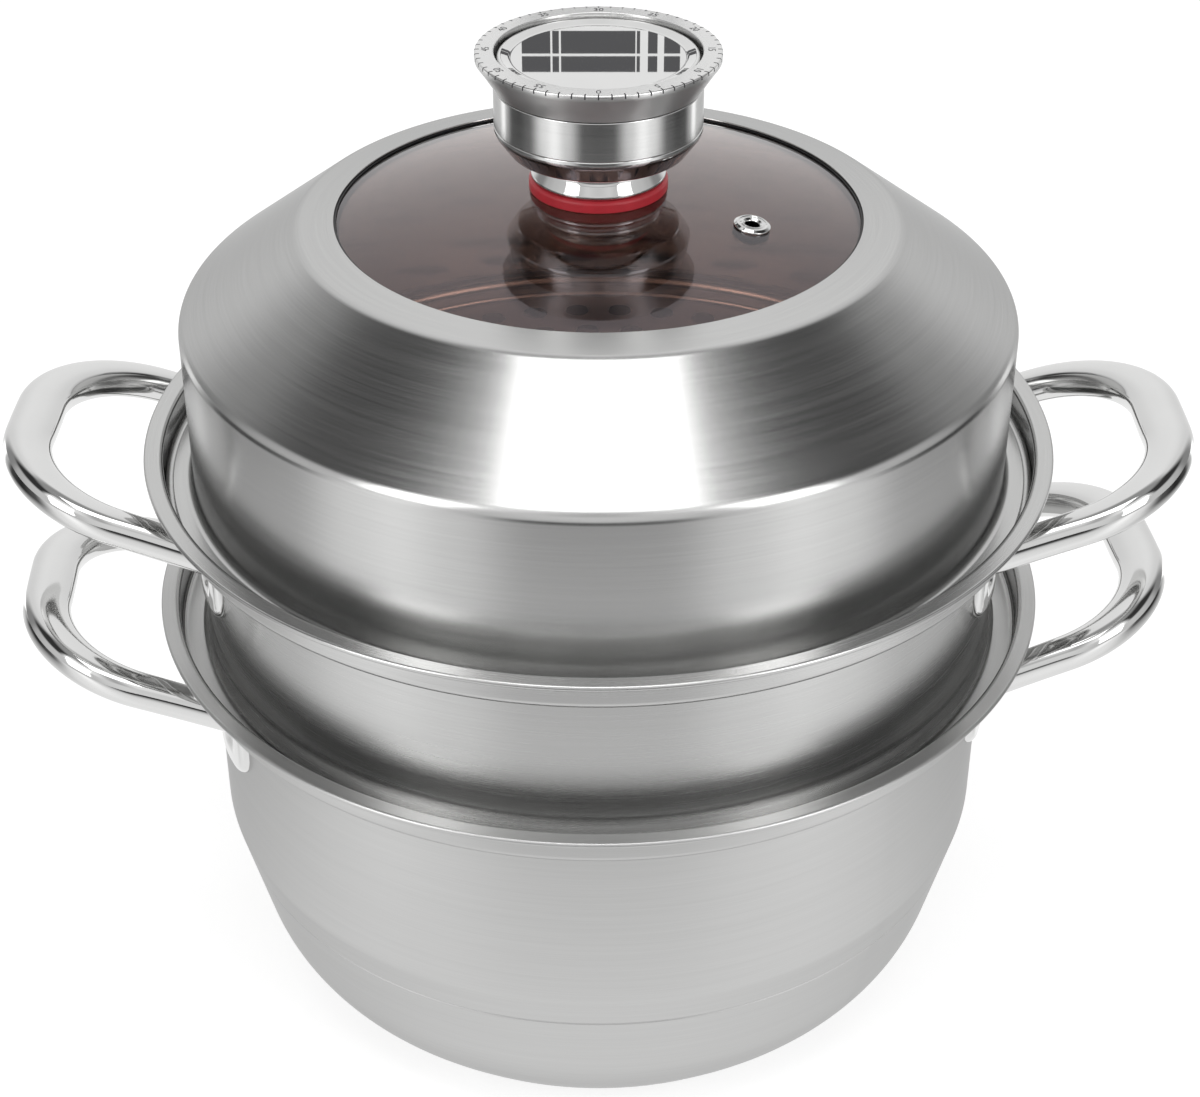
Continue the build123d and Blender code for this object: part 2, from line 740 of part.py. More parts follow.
def make_bell_hammer():
    """Lever on the stud under the base plate; its head faces the bell's wall from inside."""
    bottom = bell_mouth - hammer_height
    head_place = Vector(bell_inside(bottom) - hammer_head_gap - hammer_head_radius, 0)
    arm = SlotCenterToCenter((head_place - hammer_place).length, hammer_arm)
    middle = (head_place + hammer_place) / 2
    heading = degrees(atan2(head_place.Y - hammer_place.Y, head_place.X - hammer_place.X))
    hammer = extrude(at_level(middle, bottom) * Rot(0, 0, heading) * arm, hammer_height)
    hammer += at_level(hammer_place, bottom) * disc(hammer_hub_radius, 0, hammer_height)
    hammer += at_level(head_place, bottom) * disc(hammer_head_radius, 0, hammer_height)
    return hammer - at_level(hammer_place, 0) * disc(hammer_stud_radius + running_gap, 0, 2 * dial_top)


pot_handle = Rot(0, 0, pot_turn) * make_handle(pot_height)
tier_handle = make_handle(tier_rim)

pieces = {
    "pot_shell": make_pot_shell(),
    "pot_base_core": make_pot_base_core(),
    "pot_base_cap": make_pot_base_cap(),
    "pot_handle_right": pot_handle,
    "pot_handle_left": opposite(pot_handle),
    "tier_shell": make_tier_shell(),
    "tier_handle_right": tier_handle,
    "tier_handle_left": opposite(tier_handle),
    "steam_tray": make_steam_tray(),
    "lid_shell": make_lid_shell(),
    "lid_glass": make_lid_glass(),
    "glass_seal": make_glass_seal(),
    "glass_retaining_ring": make_glass_retaining_ring(),
    "vent_eyelet": make_vent_eyelet(),
    "vent_washer": make_vent_washer(),
    "knob_gasket": make_knob_gasket(),
    "knob_neck": make_knob_neck(),
    "knob_drum": make_knob_drum(),
    "knob_inner_gasket": make_knob_inner_gasket(),
    "knob_washer": make_knob_washer(),
    "knob_screw": make_knob_screw(),
    "knob_nut": make_knob_nut(),
    "movement_base_plate": make_movement_base_plate(),
    "movement_top_plate": make_movement_top_plate(),
    "movement_pillars": make_movement_pillars(),
    "mainspring": make_mainspring(),
    "bell": make_bell(),
    "bell_post": make_bell_post(),
    "dial_ring": make_dial_ring(),
    "dial_cap": make_dial_cap(),
    "main_arbor": make_main_arbor(),
    "main_wheel": make_main_wheel(),
    "second_wheel": make_second_wheel(),
    "escape_wheel": make_escape_wheel(),
    "pallet": make_pallet(),
    "bell_hammer": make_bell_hammer(),
}

os.makedirs("parts", exist_ok=True)
for node, piece in pieces.items():
    export_step(piece, f"parts/{node}.step")
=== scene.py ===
import json
from collections import namedtuple
from math import cos, pi, radians, sin

import bpy
import numpy as np
from bpy.props import FloatProperty, FloatVectorProperty, IntProperty, PointerProperty
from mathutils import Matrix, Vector
from mathutils.geometry import delaunay_2d_cdt

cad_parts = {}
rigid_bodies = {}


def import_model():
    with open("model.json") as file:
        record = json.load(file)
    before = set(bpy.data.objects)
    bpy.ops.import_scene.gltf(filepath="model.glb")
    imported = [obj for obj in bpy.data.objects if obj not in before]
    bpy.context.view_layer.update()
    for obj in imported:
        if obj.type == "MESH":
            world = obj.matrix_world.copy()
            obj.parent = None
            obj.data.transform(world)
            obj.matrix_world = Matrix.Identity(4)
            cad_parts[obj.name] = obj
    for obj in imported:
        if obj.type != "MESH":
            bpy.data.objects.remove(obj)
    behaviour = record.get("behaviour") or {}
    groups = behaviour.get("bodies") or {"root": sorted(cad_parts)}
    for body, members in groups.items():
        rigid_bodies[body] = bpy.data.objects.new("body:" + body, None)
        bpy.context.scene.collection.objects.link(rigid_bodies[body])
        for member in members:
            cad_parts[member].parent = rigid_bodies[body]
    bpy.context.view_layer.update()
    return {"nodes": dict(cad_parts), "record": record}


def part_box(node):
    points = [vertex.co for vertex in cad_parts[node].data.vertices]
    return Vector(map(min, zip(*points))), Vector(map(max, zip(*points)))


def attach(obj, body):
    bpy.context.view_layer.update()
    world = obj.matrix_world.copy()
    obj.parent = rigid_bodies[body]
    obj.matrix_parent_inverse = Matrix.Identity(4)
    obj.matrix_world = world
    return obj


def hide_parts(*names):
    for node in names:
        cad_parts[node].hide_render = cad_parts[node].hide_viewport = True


bl_info = {
    "name": "Food Steamer Finish",
    "version": (1, 0, 0),
    "blender": (4, 5, 0),
    "location": "View3D > Sidebar > Steamer",
    "description": "Dresses the frame of a stovetop food steamer in steel, glass and silicone",
    "category": "Object",
}

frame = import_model()
ends = {node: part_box(node) for node in frame["nodes"]}

# Steps of the meshes
TURNS = 256                 # round a spun shell
BEND_STEPS = 10             # along a bend
HOLE_SIDES = 24             # round a steam hole
BAR_STEPS = 180             # along a handle's bar
BAR_BEND_STEPS = 80         # along a bend of the bar's path, before it is spaced evenly
BAR_SIDES = 56              # round a handle's bar
PAD_SIDES = 64              # round a weld pad
PAD_EDGE_STEPS = 9          # over a pad's round edge
PAD_FACE_STEPS = 25         # from that edge to the pad's middle
GLASS_RINGS = 16            # from the hole in the glass to its edge
GLASS_SPOKES = 96           # round the glass
SEAL_STEPS = 12             # across the seal
GASKET_STEPS = 8            # across the gasket
COVE_STEPS = 24             # along the cove under the dial
FONT_CURVE_STEPS = 4        # along a curve of a number

# Small lengths in metres, directions and shares
MM = 0.001
WELD = 1e-7                 # points nearer than this become one
LEAST_BEND = 0.1 * MM       # inside of a bend that is tighter than its sheet
CUT_EDGE = 0.3 * MM         # rounding of a cut edge
FINE_BEND = 0.05 * MM       # rounding between the short runs of a soft section
SHARP = 0.02 * MM           # rounding of a corner that nobody sees
CLEARANCE = 0.02 * MM       # air between two faces that would touch
BACK = pi / 2               # azimuth of the seams, behind the steamer
FRONT = -pi / 2             # azimuth of the camera's side
POLE_AREA = 1e-14           # steps of a grid that span less than this meet in a pole
ROLL_BENDS = (0.1, 0.85, 0.95, 0.95)  # bends round a rolled edge, as shares of its radius
STUFFING_GAP = 1.3          # points inside a disc keep this many radii from the middle of a hole
FONT_SIZE = 1.35            # size of the font by the height of its digits

# Finishes
INNER_GLOSS = 0.4           # roughness of faces that look inwards, as a share of the outside's
INWARD = -0.5               # a face looks inwards when its normal's outward part is less than this
DOWNWARD = -0.05            # a face looks down when its normal's upward part is less than this
GLANCING = (0.65, 0.65, 0.65, 1.0)  # how much brushed steel still mirrors at a glancing view
GLASS_GLARE = (1.0, 0.9, 1.0, 1.0)  # tint of what the glass mirrors
ACROSS_MARKS = 0.25         # a quarter turn, which stretches highlights across marks that run round
SCRATCH_SHARE = 0.65        # part of the fine scratches in brushed steel, where broad bands have the rest
SCRATCH_DEPTH = 0.02 * MM   # relief of brushed and polished steel
SKIN_DEPTH = 0.03 * MM      # relief of silicone
GROOVE_DEPTH = 0.04 * MM    # relief of sheet faced on a lathe

# Studio: brightness by azimuth from the camera's side in degrees, then lamps, floor and panes
CLOTH = ((0, 0.85), (16, 0.8), (34, 0.65), (50, 0.65), (66, 0.7), (80, 0.65), (96, 0.55), (110, 0.3),
         (120, 0.3), (140, 0.85), (180, 0.85))
FLAGS = ((0, 0.5), (26, 1.0), (58, 1.1), (70, 0.04), (110, 0.04), (140, 0.85), (180, 0.8))
FLOOR = ((0, 0.03), (15, 0.05), (34, 0.8), (48, 1.3), (60, 1.0), (80, 0.1), (94, 0.03), (106, 0.06),
         (118, 0.6), (122, 1.6), (127, 1.6), (132, 0.85), (180, 0.85))
FLAG_HEIGHTS = (0.5, 0.64)  # sine of the elevation where the cloth gives way to the flags
ROOF_HEIGHTS = (0.86, 0.95)  # and where the flags give way to the roof
ROOF_LIGHT = 0.35
EVEN_LIGHT = 0.75           # what matt faces get from all sides
LAMP_AIM = (0, 0, 0.2)
SIDE_LAMP = (1.05, -0.95, 0.9)
SIDE_LAMP_SIZE = (0.6, 1.1)
TOP_LAMP = (0, -0.35, 1.7)
TOP_LAMP_SIZE = (0.9, 0.7)
FLOOR_HALF = 4.0            # half the floor's side
FLOOR_LEVEL = -0.2 * MM     # just under the base
FLOOR_GREY = (0.55, 0.55, 0.55, 1)
FLOOR_GLOW = 0.6            # lifts the floor to white for the camera
NEAR_FLOOR = 1.03           # brightness of the mirrored floor close to the pot
FLOOR_FADE = (0.2, 0.8)     # distances from the axis between which that gives way to the flags
# left and right edges of the dark panes behind the knob, before they are spread
PANES = ((-23.3, -14.6), (-14.0, -12.0), (-11.4, 11.2), (11.6, 12.6), (15.0, 17.9), (19.9, 24.8))
PANE_SPREAD = 1.224 * MM    # turns the edges of the panes into metres and widens them
PANE_ROWS = ((378.8, 387.6), (388.6, 394.8))  # lower and upper edges in millimetres
PANE_BACK = 150 * MM        # panes behind the axis
PANE_GREY = (0.12, 0.12, 0.125, 1)


def low(node):
    """Level of a node's lowest point."""
    return ends[node][0].z


def high(node):
    """Level of a node's highest point."""
    return ends[node][1].z


def reach(node):
    """Largest radius of a round node."""
    return ends[node][1].x


# Sizes, colours and studio settings that a user may change

def from_frame(name, metres, description):
    """A length in metres that the frame gives."""
    return FloatProperty(name=name, description=description, default=metres, unit="LENGTH", precision=5)


def size(name, millimetres, description):
    """A length in metres, written in millimetres."""
    return from_frame(name, millimetres * MM, description)


def degrees(name, value, description):
    """An angle in radians, written in degrees."""
    return FloatProperty(name=name, description=description, default=radians(value), unit="ROTATION")


def share(name, value, description):
    """A plain number."""
    return FloatProperty(name=name, description=description, default=value, precision=3)


def watts(name, value, description):
    """A lamp's power."""
    return FloatProperty(name=name, description=description, default=value, unit="POWER")


def colour(name, value, description):
    """A linear colour."""
    return FloatVectorProperty(name=name, description=description, default=value, subtype="COLOR",
                               min=0, max=1)


class StackSizes(bpy.types.PropertyGroup):
    """Pressed steel and the rims that stack"""
    sheet: size("Sheet", 0.8, "Thickness of every pressed shell")
    fit_gap: size("Fit gap", 0.8, "Radial play of one piece inside the next")
    rim_radius: from_frame("Rim radius", reach("pot_shell"), "Outer edge of the rims")
    rim_width: size("Rim width", 5.4, "Flat top of a rim")
    rim_edge: size("Rim edge", 1.8, "Diameter of the rolled edge")
    rim_bend: size("Rim bend", 1.0, "Bend between a rim and the wall below it")
    seat_width: size("Seat width", 10.8, "Step inside a rim on which the next piece stands")
    seat_drop: size("Seat drop", 11.5, "Rim down to that step")
    seat_bend: size("Seat bend", 2.0, "Bends at both sides of the step")
    hole_radius: size("Steam hole", 4.5, "Radius of a steam hole")
    hole_pitch: size("Hole pitch", 16.0, "Steam hole to steam hole")
    hole_margin: size("Hole margin", 14.0, "Last ring of holes to the wall")


class PotSizes(bpy.types.PropertyGroup):
    """The pot's own shape"""
    base_radius: size("Base radius", 105.0, "Flat ring that meets the hob")
    base_bend: size("Base bend", 5.0, "Bend round the bottom")
    belly_radius: size("Belly radius", 122.0, "Where the rounded bottom turns into the taper")
    belly_height: size("Belly height", 18.8, "Level of that turn")
    belly_bend: size("Belly bend", 50.0, "Rounding of the belly")
    taper_height: size("Taper height", 67.5, "Top of the taper")
    taper_bend: size("Taper bend", 14.0, "Rounding at the top of the taper")
    crease_height: size("Crease height", 56.0, "Pressed line round the taper")
    crease_width: size("Crease width", 1.0, "Width of that line")
    crease_depth: size("Crease depth", 0.3, "Depth of that line")


class TierSizes(bpy.types.PropertyGroup):
    """The tier's foot and the tray's edge"""
    foot_flare: size("Foot flare", 4.0, "Bead round the foot, beyond the wall")
    foot_height: size("Foot height", 7.0, "Height of the bead")
    foot_bend: size("Foot bend", 1.6, "Rounding of the bead")
    spigot_bend: size("Spigot bend", 4.0, "Bend between the spigot and the floor")
    tray_bend: size("Tray bend", 3.0, "Bend between the tray's side and its plate")


class HandleSizes(bpy.types.PropertyGroup):
    """The four loop handles"""
    tilt: degrees("Tilt", 19.4, "Climb of a loop")
    pot_turn: degrees("Pot turn", 3.9, "The pot stands turned under the tier by this")
    drop: size("Drop", 23.0, "Legs below their own rim, at the wall")
    span: size("Span", 49.5, "Legs either side of the middle, at the wall")
    reach: size("Reach", 67.5, "Wall to the middle of the grip, along the tilt")
    grip: size("Grip", 44.7, "Half the grip, corner to corner")
    bend: size("Bend", 37.5, "Bend at both ends of the grip")
    leg_width: size("Leg width", 10.5, "Width of the bar at the wall")
    grip_width: size("Grip width", 16.4, "Width of the bar at the grip")
    thickness: size("Thickness", 11.2, "Thickness of the bar")
    squareness: share("Squareness", 2.5, "Exponent of the bar's oval section")
    pad_drop: size("Pad drop", 7.0, "Middle of a pad below its leg")
    pad_width: size("Pad width", 23.0, "Width of a weld pad")
    pad_height: size("Pad height", 24.0, "Height of a weld pad")
    pad_thickness: size("Pad thickness", 2.8, "Thickness of a weld pad")
    dimple_depth: size("Dimple depth", 1.1, "Hollow that the spot weld leaves in a pad")
    dimple_share: share("Dimple share", 0.62, "Dimple's size as a share of the pad's")
    pad_squareness: share("Pad squareness", 3.2, "Exponent of a pad's outline")


class LidSizes(bpy.types.PropertyGroup):
    """The lid's shell and its glass"""
    swell: size("Swell", 0.7, "Lid's wall beyond the tier's wall")
    foot_bend: size("Foot bend", 2.5, "Bend above the foot")
    shoulder_height: size("Shoulder height", 57.4, "Tier's step to the corner of the shoulder")
    shoulder_bend: size("Shoulder bend", 5.0, "Rounding of that corner")
    crown_radius: size("Crown radius", 95.5, "Top of the cone")
    crown_height: size("Crown height", 86.6, "Tier's step to the top of the cone")
    crown_bend: size("Crown bend", 6.0, "Rounding at the top of the cone")
    crown_rise: size("Crown rise", 1.8, "Crown's climb towards the glass")
    glass_radius: size("Glass radius", 83.4, "Visible edge of the glass")
    glass_thickness: size("Glass thickness", 4.0, "Thickness of the dome")
    dome_rise: size("Dome rise", 10.2, "Height of the visible dome")
    seal_lip: size("Seal lip", 0.7, "Width of the seal that shows inside the crown")
    seal_gap: size("Seal gap", 0.05, "Air between the seal and what it seals")
    seal_depth: share("Seal depth", 0.9, "Lip below the crown's edge, as a share of the sheet")
    vent_distance: size("Vent distance", 52.3, "Axis to the steam vent")
    vent_azimuth: degrees("Vent azimuth", -26.0, "Place of the steam vent round the axis")
    vent_radius: size("Vent radius", 5.75, "Flange of the vent's eyelet")
    vent_tube: size("Vent tube", 3.1, "Radius of the eyelet's tube")
    vent_hole: size("Vent hole", 2.25, "Radius of the hole that lets steam out")
    vent_height: size("Vent height", 1.3, "Height of the eyelet's flange")
    vent_lip: size("Vent lip", 0.9, "Hole to the top of the lip, and from there to the hollow")
    vent_slope: size("Vent slope", 1.1, "Slope at the flange's outer edge")


class KnobSizes(bpy.types.PropertyGroup):
    """The knob and its dial"""
    sheet: size("Sheet", 1.0, "Thickness of the knob's steel")
    screw_hole: size("Screw hole", 2.5, "Radius of the hole for the screw")
    glass_hole: size("Glass hole", 4.0, "Radius of the hole in the glass and the gasket")
    gasket_round: size("Gasket round", 1.2, "Rounding of the gasket's upper edge")
    gasket_edge: size("Gasket edge", 0.4, "Rounding of the gasket's lower edge")
    gasket_squeeze: size("Gasket squeeze", 1.2, "How far the knob's foot is pressed into the gasket")
    neck_foot: size("Neck foot", 22.0, "Corner of the neck's foot, before its bend")
    foot_bend: size("Foot bend", 1.2, "Rounding of that corner")
    neck_radius: size("Neck radius", 18.4, "Top of the neck, under the bowl")
    neck_height: size("Neck height", 5.4, "Height of the neck")
    neck_bend: size("Neck bend", 2.0, "Bend between the neck and the bowl")
    bowl_radius: size("Bowl radius", 27.8, "Corner between the bowl's floor and its side")
    bowl_floor_rise: size("Bowl floor rise", 2.6, "Climb of the bowl's floor")
    bowl_side_rise: size("Bowl side rise", 6.4, "Climb of the bowl's side")
    bowl_bend: size("Bowl bend", 3.0, "Rounding of the bowl")
    edge_round: size("Edge round", 0.35, "Rounding of the drum's edges")
    shelf_width: size("Shelf width", 3.0, "Shelf inside the drum's foot")
    cove_radius: size("Cove radius", 34.7, "Waist of the cove under the dial's edge")
    cove_height: size("Cove height", 3.7, "Level of that waist above the drum")
    dial_edge: size("Dial edge", 1.6, "Straight edge above the cove")
    dial_face: size("Dial face", 5.9, "Width of the graduated face")
    dial_round: size("Dial round", 0.6, "Rounding of the dial's edge")
    cap_lip: size("Cap lip", 1.3, "Flat lip round the mirror dish")
    cap_slope: size("Cap slope", 2.6, "Width of the slope from the lip to the mirror")
    cap_dish: size("Cap dish", 1.0, "Mirror below the lip")
    cap_bend: size("Cap bend", 1.0, "Rounding of the lip's outer edge")
    lip_bend: size("Lip bend", 0.6, "Rounding of the lip's inner edge")
    dish_bend: size("Dish bend", 3.0, "Bend between the slope and the mirror")
    number_height: size("Number height", 2.5, "Height of the dial's numbers")
    number_radius: size("Number radius", 34.3, "Axis to the middle of the numbers")
    tick_width: size("Tick width", 0.42, "Width of a minute mark")
    tick_length: size("Tick length", 1.5, "Length of a minute mark on the face")
    tick_drop: size("Tick drop", 1.2, "Length of a minute mark down the edge")
    mark_depth: size("Mark depth", 0.03, "Height of the marks above the face")
    minutes: IntProperty(name="Minutes", description="Minute marks round the dial", default=60)
    numbers: IntProperty(name="Numbers", description="Numbers round the dial", default=12)


class Finishes(bpy.types.PropertyGroup):
    """Colours of the materials"""
    steel: colour("Brushed steel", (0.60, 0.60, 0.595), "Brushed stainless steel")
    polish: colour("Polished steel", (0.71, 0.71, 0.705), "Polished steel of the handles and the knob")
    glass: colour("Smoked glass", (0.52, 0.38, 0.33), "Light that passes the lid's glass")
    red: colour("Red silicone", (0.46, 0.022, 0.034), "Gasket under the knob")
    black: colour("Black silicone", (0.012, 0.012, 0.013), "Seal round the glass")
    marking: colour("Marking", (0.025, 0.025, 0.028), "Numbers and minute marks")
    brass: colour("Brass", (0.72, 0.50, 0.20), "Wheels and plates of the timer")
    aluminium: colour("Aluminium", (0.78, 0.78, 0.79), "Core of the base")


class Studio(bpy.types.PropertyGroup):
    """Camera and light"""
    lens: FloatProperty(name="Lens", description="Focal length", default=69.15, unit="CAMERA")
    camera_back: size("Camera back", 669.0, "Camera in front of the axis")
    camera_height: size("Camera height", 587.0, "Camera above the base")
    camera_pitch: degrees("Pitch", 32.96, "Camera looks down by this")
    camera_shift: share("Shift", 0.00125, "Sideways shift of the picture, as a share of its width")
    side_power: watts("Side softboxes", 5.0, "Power of each")
    top_power: watts("Top softbox", 5.5, "Power")


# Surfaces: arrays of points, normals and texture coordinates with faces of four corners each

Surface = namedtuple("Surface", "points normals uv faces")


def unit(vectors):
    """Vectors scaled to length one."""
    return vectors / np.linalg.norm(vectors, axis=-1, keepdims=True)


def circle(count, start=0.0):
    """Unit vectors spaced evenly round a circle, from an azimuth on."""
    angle = start + np.linspace(0, 2 * pi, count, endpoint=False)
    return np.stack([np.cos(angle), np.sin(angle)], 1)


def left_turn(first, second):
    """Cross product of flat vectors: positive where the second points to the left of the first."""
    return first[..., 0] * second[..., 1] - first[..., 1] * second[..., 0]


def offset(points, distance):
    """A polyline moved to the left of its run, with mitred corners.

    A corner moves along the sum of the normals beside it, by distance / (1 + cosine of the turn).
    """
    points = np.asarray(points, float)
    runs = unit(np.diff(points, axis=0))
    normals = np.stack([-runs[:, 1], runs[:, 0]], 1)
    inner = (normals[:-1] + normals[1:]) / (1 + (runs[:-1] * runs[1:]).sum(1))[:, None]
    return points + distance * np.concatenate([normals[:1], inner, normals[-1:]])


def rounded(points, bends, closed=False, steps=BEND_STEPS):
    """An outline with an arc at each corner, as points and unit tangents.

    An arc of radius R starts R tan(turn / 2) before its corner. At angle t it is at
    start + R (sin t u + (1 - cos t) n) and its tangent is cos t u + sin t n, where u runs into the
    corner and n points to the side that the outline turns to.
    """
    points = np.asarray(points, float)
    runs = unit(np.roll(points, -1, 0) - points)
    if closed:
        corners, into, out = points, np.roll(runs, 1, 0), runs
    else:
        corners, into, out = points[1:-1], runs[:-2], runs[1:-1]
    cross = left_turn(into, out)
    turn = np.arctan2(np.abs(cross), (into * out).sum(1))
    side = np.sign(cross)[:, None] * np.stack([-into[:, 1], into[:, 0]], 1)
    radius = np.asarray(bends, float)
    start = corners - into * (radius * np.tan(turn / 2))[:, None]
    angle = turn[:, None] * np.linspace(0, 1, steps)
    sine, cosine = np.sin(angle)[..., None], np.cos(angle)[..., None]
    arcs = start[:, None] + radius[:, None, None] * (sine * into[:, None] + (1 - cosine) * side[:, None])
    tangents = cosine * into[:, None] + sine * side[:, None]
    line, slope = arcs.reshape(-1, 2), tangents.reshape(-1, 2)
    if closed:
        return np.concatenate([line, line[:1]]), np.concatenate([slope, slope[:1]])
    return np.concatenate([points[:1], line, points[-1:]]), np.concatenate([runs[:1], slope, runs[-2:-1]])


def grid_faces(rows, columns):
    """Corners of the faces of a grid: each face goes along its row first, then up a row."""
    index = np.arange(rows * columns).reshape(rows, columns)
    corners = [index[:-1, :-1], index[:-1, 1:], index[1:, 1:], index[1:, :-1]]
    return np.stack(corners, -1).reshape(-1, 4)


def grid_surface(points, normals, uv=None):
    """Surface over a grid of rows and columns."""
    rows, columns = points.shape[:2]
    if uv is None:
        uv = np.zeros((rows, columns, 2))
    flat = [values.reshape(rows * columns, -1) for values in (points, normals, uv)]
    return Surface(*flat, grid_faces(rows, columns))


def tube(points, normals):
    """Surface over a tube's grid, with a fan at each end from its ring to the ring's middle."""
    tips = points[[0, -1]]
    middles = tips.mean(1, keepdims=True) + 0 * tips
    points = np.concatenate([middles[:1], points, middles[1:]])
    return grid_surface(points, np.concatenate([normals[:1], normals, normals[-1:]]))


def joined(*surfaces):
    """Several surfaces as one."""
    counts = np.cumsum([0] + [len(surface.points) for surface in surfaces[:-1]])
    faces = [surface.faces + count for surface, count in zip(surfaces, counts)]
    return Surface(*(np.concatenate(values) for values in list(zip(*surfaces))[:3]), np.concatenate(faces))


def spun(line, slope, start=0.0):
    """A profile (r, z) carried round the vertical axis: P = (r cos a, r sin a, z).

    The normal lies to the right of the profile's run (dr, dz): it is (dz cos a, dz sin a, -dr). The
    texture's second coordinate is the length along the profile in metres.
    """
    angle = BACK + np.linspace(0, 2 * pi, TURNS + 1)
    c, s = np.cos(angle), np.sin(angle)
    radius, level = line[:, :1], line[:, 1:]
    points = np.stack([radius * c, radius * s, level + 0 * c], -1)
    normals = np.stack([slope[:, 1:] * c, slope[:, 1:] * s, -slope[:, :1] + 0 * c], -1)
    run = np.linalg.norm(np.diff(line, axis=0), axis=1)
    length = start + np.concatenate([[0], np.cumsum(run)])
    uv = np.stack(np.broadcast_arrays(np.linspace(0, 1, TURNS + 1), length[:, None]), -1)
    return grid_surface(points, normals, uv)


def facing(points):
    """Normals of a grid: the cross product of its steps along a row and up the rows.

    Where the steps meet in a pole, its row's normals are summed up, and an empty sum looks up.
    """
    along = np.gradient(points, axis=1)
    along[:, 0] = along[:, -1] = points[:, 1] - points[:, -2]
    normals = np.cross(along, np.gradient(points, axis=0))
    area = np.linalg.norm(normals, axis=-1, keepdims=True)
    upwards = np.array([0, 0, np.finfo(np.float32).tiny])
    pole = np.broadcast_to(normals.sum(1, keepdims=True), normals.shape) + upwards
    return unit(np.where(area > POLE_AREA, normals, pole))


def disc_cut(radius, centres, radii, stuffing):
    """Triangles of a flat disc with round holes: a Delaunay net between its rim and the holes' edges."""
    rim = radius * circle(TURNS, BACK)
    holes = centres[:, None] + radii[:, None, None] * circle(HOLE_SIDES)
    apart = np.linalg.norm(stuffing[:, None] - centres, axis=2) > STUFFING_GAP * radii
    spots = np.concatenate([rim, holes.reshape(-1, 2), stuffing[apart.all(1)]])
    rim_loop = np.stack([np.arange(TURNS), np.roll(np.arange(TURNS), -1)], 1)
    sides = TURNS + np.arange(holes[..., 0].size).reshape(-1, HOLE_SIDES)
    hole_loops = np.stack([sides, np.roll(sides, -1, 1)], -1).reshape(-1, 2)
    loops = np.concatenate([rim_loop, hole_loops])
    net = delaunay_2d_cdt(spots.tolist(), loops.tolist(), [], 0, WELD / 10)
    spots = np.array([place[:] for place in net[0]])
    triangles = np.array(net[2])
    middle = spots[triangles].mean(1)
    triangles = triangles[(np.linalg.norm(middle[:, None] - centres, axis=2) > radii).all(1)]
    a, b, c = spots[triangles].transpose(1, 0, 2)
    clockwise = left_turn(b - a, c - a) < 0
    triangles[clockwise] = triangles[clockwise][:, ::-1]
    return spots, triangles, holes


def plate_between(radius, centres, radii, upper, lower, stuffing=np.zeros((0, 2))):
    """Both faces of a holed plate and the walls of its holes.

    The functions upper and lower lift flat spots to the points and normals of the two faces.
    """
    spots, triangles, holes = disc_cut(radius, centres, radii, stuffing)
    faces = np.concatenate([triangles, triangles[:, 2:]], 1)
    uv = np.stack([np.zeros(len(spots)), np.linalg.norm(spots, axis=1)], 1)
    skins = [Surface(*upper(spots), uv, faces), Surface(*lower(spots), uv, faces[:, ::-1])]
    holes = np.concatenate([holes, holes[:, :1]], 1)
    walls = []
    for hole, centre in zip(holes, centres):
        points = np.stack([upper(hole)[0], lower(hole)[0]])
        inward = np.column_stack([unit(centre - hole), np.zeros(len(hole))])
        walls.append(grid_surface(points, np.stack([inward, inward])))
    return joined(*skins, *walls)


def level_face(height, up):
    """Lifts flat spots to a level face that looks up (1) or down (-1)."""
    def lift(spots):
        filled = np.zeros(len(spots))
        return np.column_stack([spots, filled + height]), np.column_stack([filled, filled, filled + up])
    return lift


def steam_holes(stack, outer_radius):
    """Centres of rings of holes, evenly spaced out to the last ring."""
    rings = int(outer_radius // stack.hole_pitch)
    step = outer_radius / rings
    centres = [np.zeros((1, 2))]
    for ring in range(1, rings + 1):
        count = int(2 * pi * ring * step / stack.hole_pitch)
        centres.append(ring * step * circle(count))
    return np.concatenate(centres)


def steam_floor(stack, plate, side, bottom):
    """Perforated floor of the tier or the tray, out to the radius of its flat plate."""
    centres = steam_holes(stack, side - stack.hole_margin)
    radii = np.full(len(centres), stack.hole_radius)
    upper, lower = level_face(bottom + stack.sheet, 1), level_face(bottom, -1)
    return plate_between(plate, centres, radii, upper, lower)


def welded(points):
    """First point and number of each distinct place.

    Along each axis, sorted values less than WELD apart get the same step number.
    """
    order = np.argsort(points, axis=0)
    steps = np.zeros(points.shape, np.int64)
    steps[1:] = np.cumsum(np.diff(np.take_along_axis(points, order, 0), axis=0) > WELD, axis=0)
    places = np.empty_like(steps)
    np.put_along_axis(places, order, steps, 0)
    _, first, same = np.unique(places, axis=0, return_index=True, return_inverse=True)
    return first, same.reshape(-1)


def placed(name, data):
    """A new object in the scene."""
    made = bpy.data.objects.new(name, data)
    bpy.context.scene.collection.objects.link(made)
    return made


def dressed(name, mesh, material, body, slot, *nodes):
    """Make a piece of the part from a mesh: it rides on a body and may stand in for nodes."""
    mesh.materials.append(material)
    made = placed(name, mesh)
    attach(made, body)
    if nodes:
        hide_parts(*nodes)


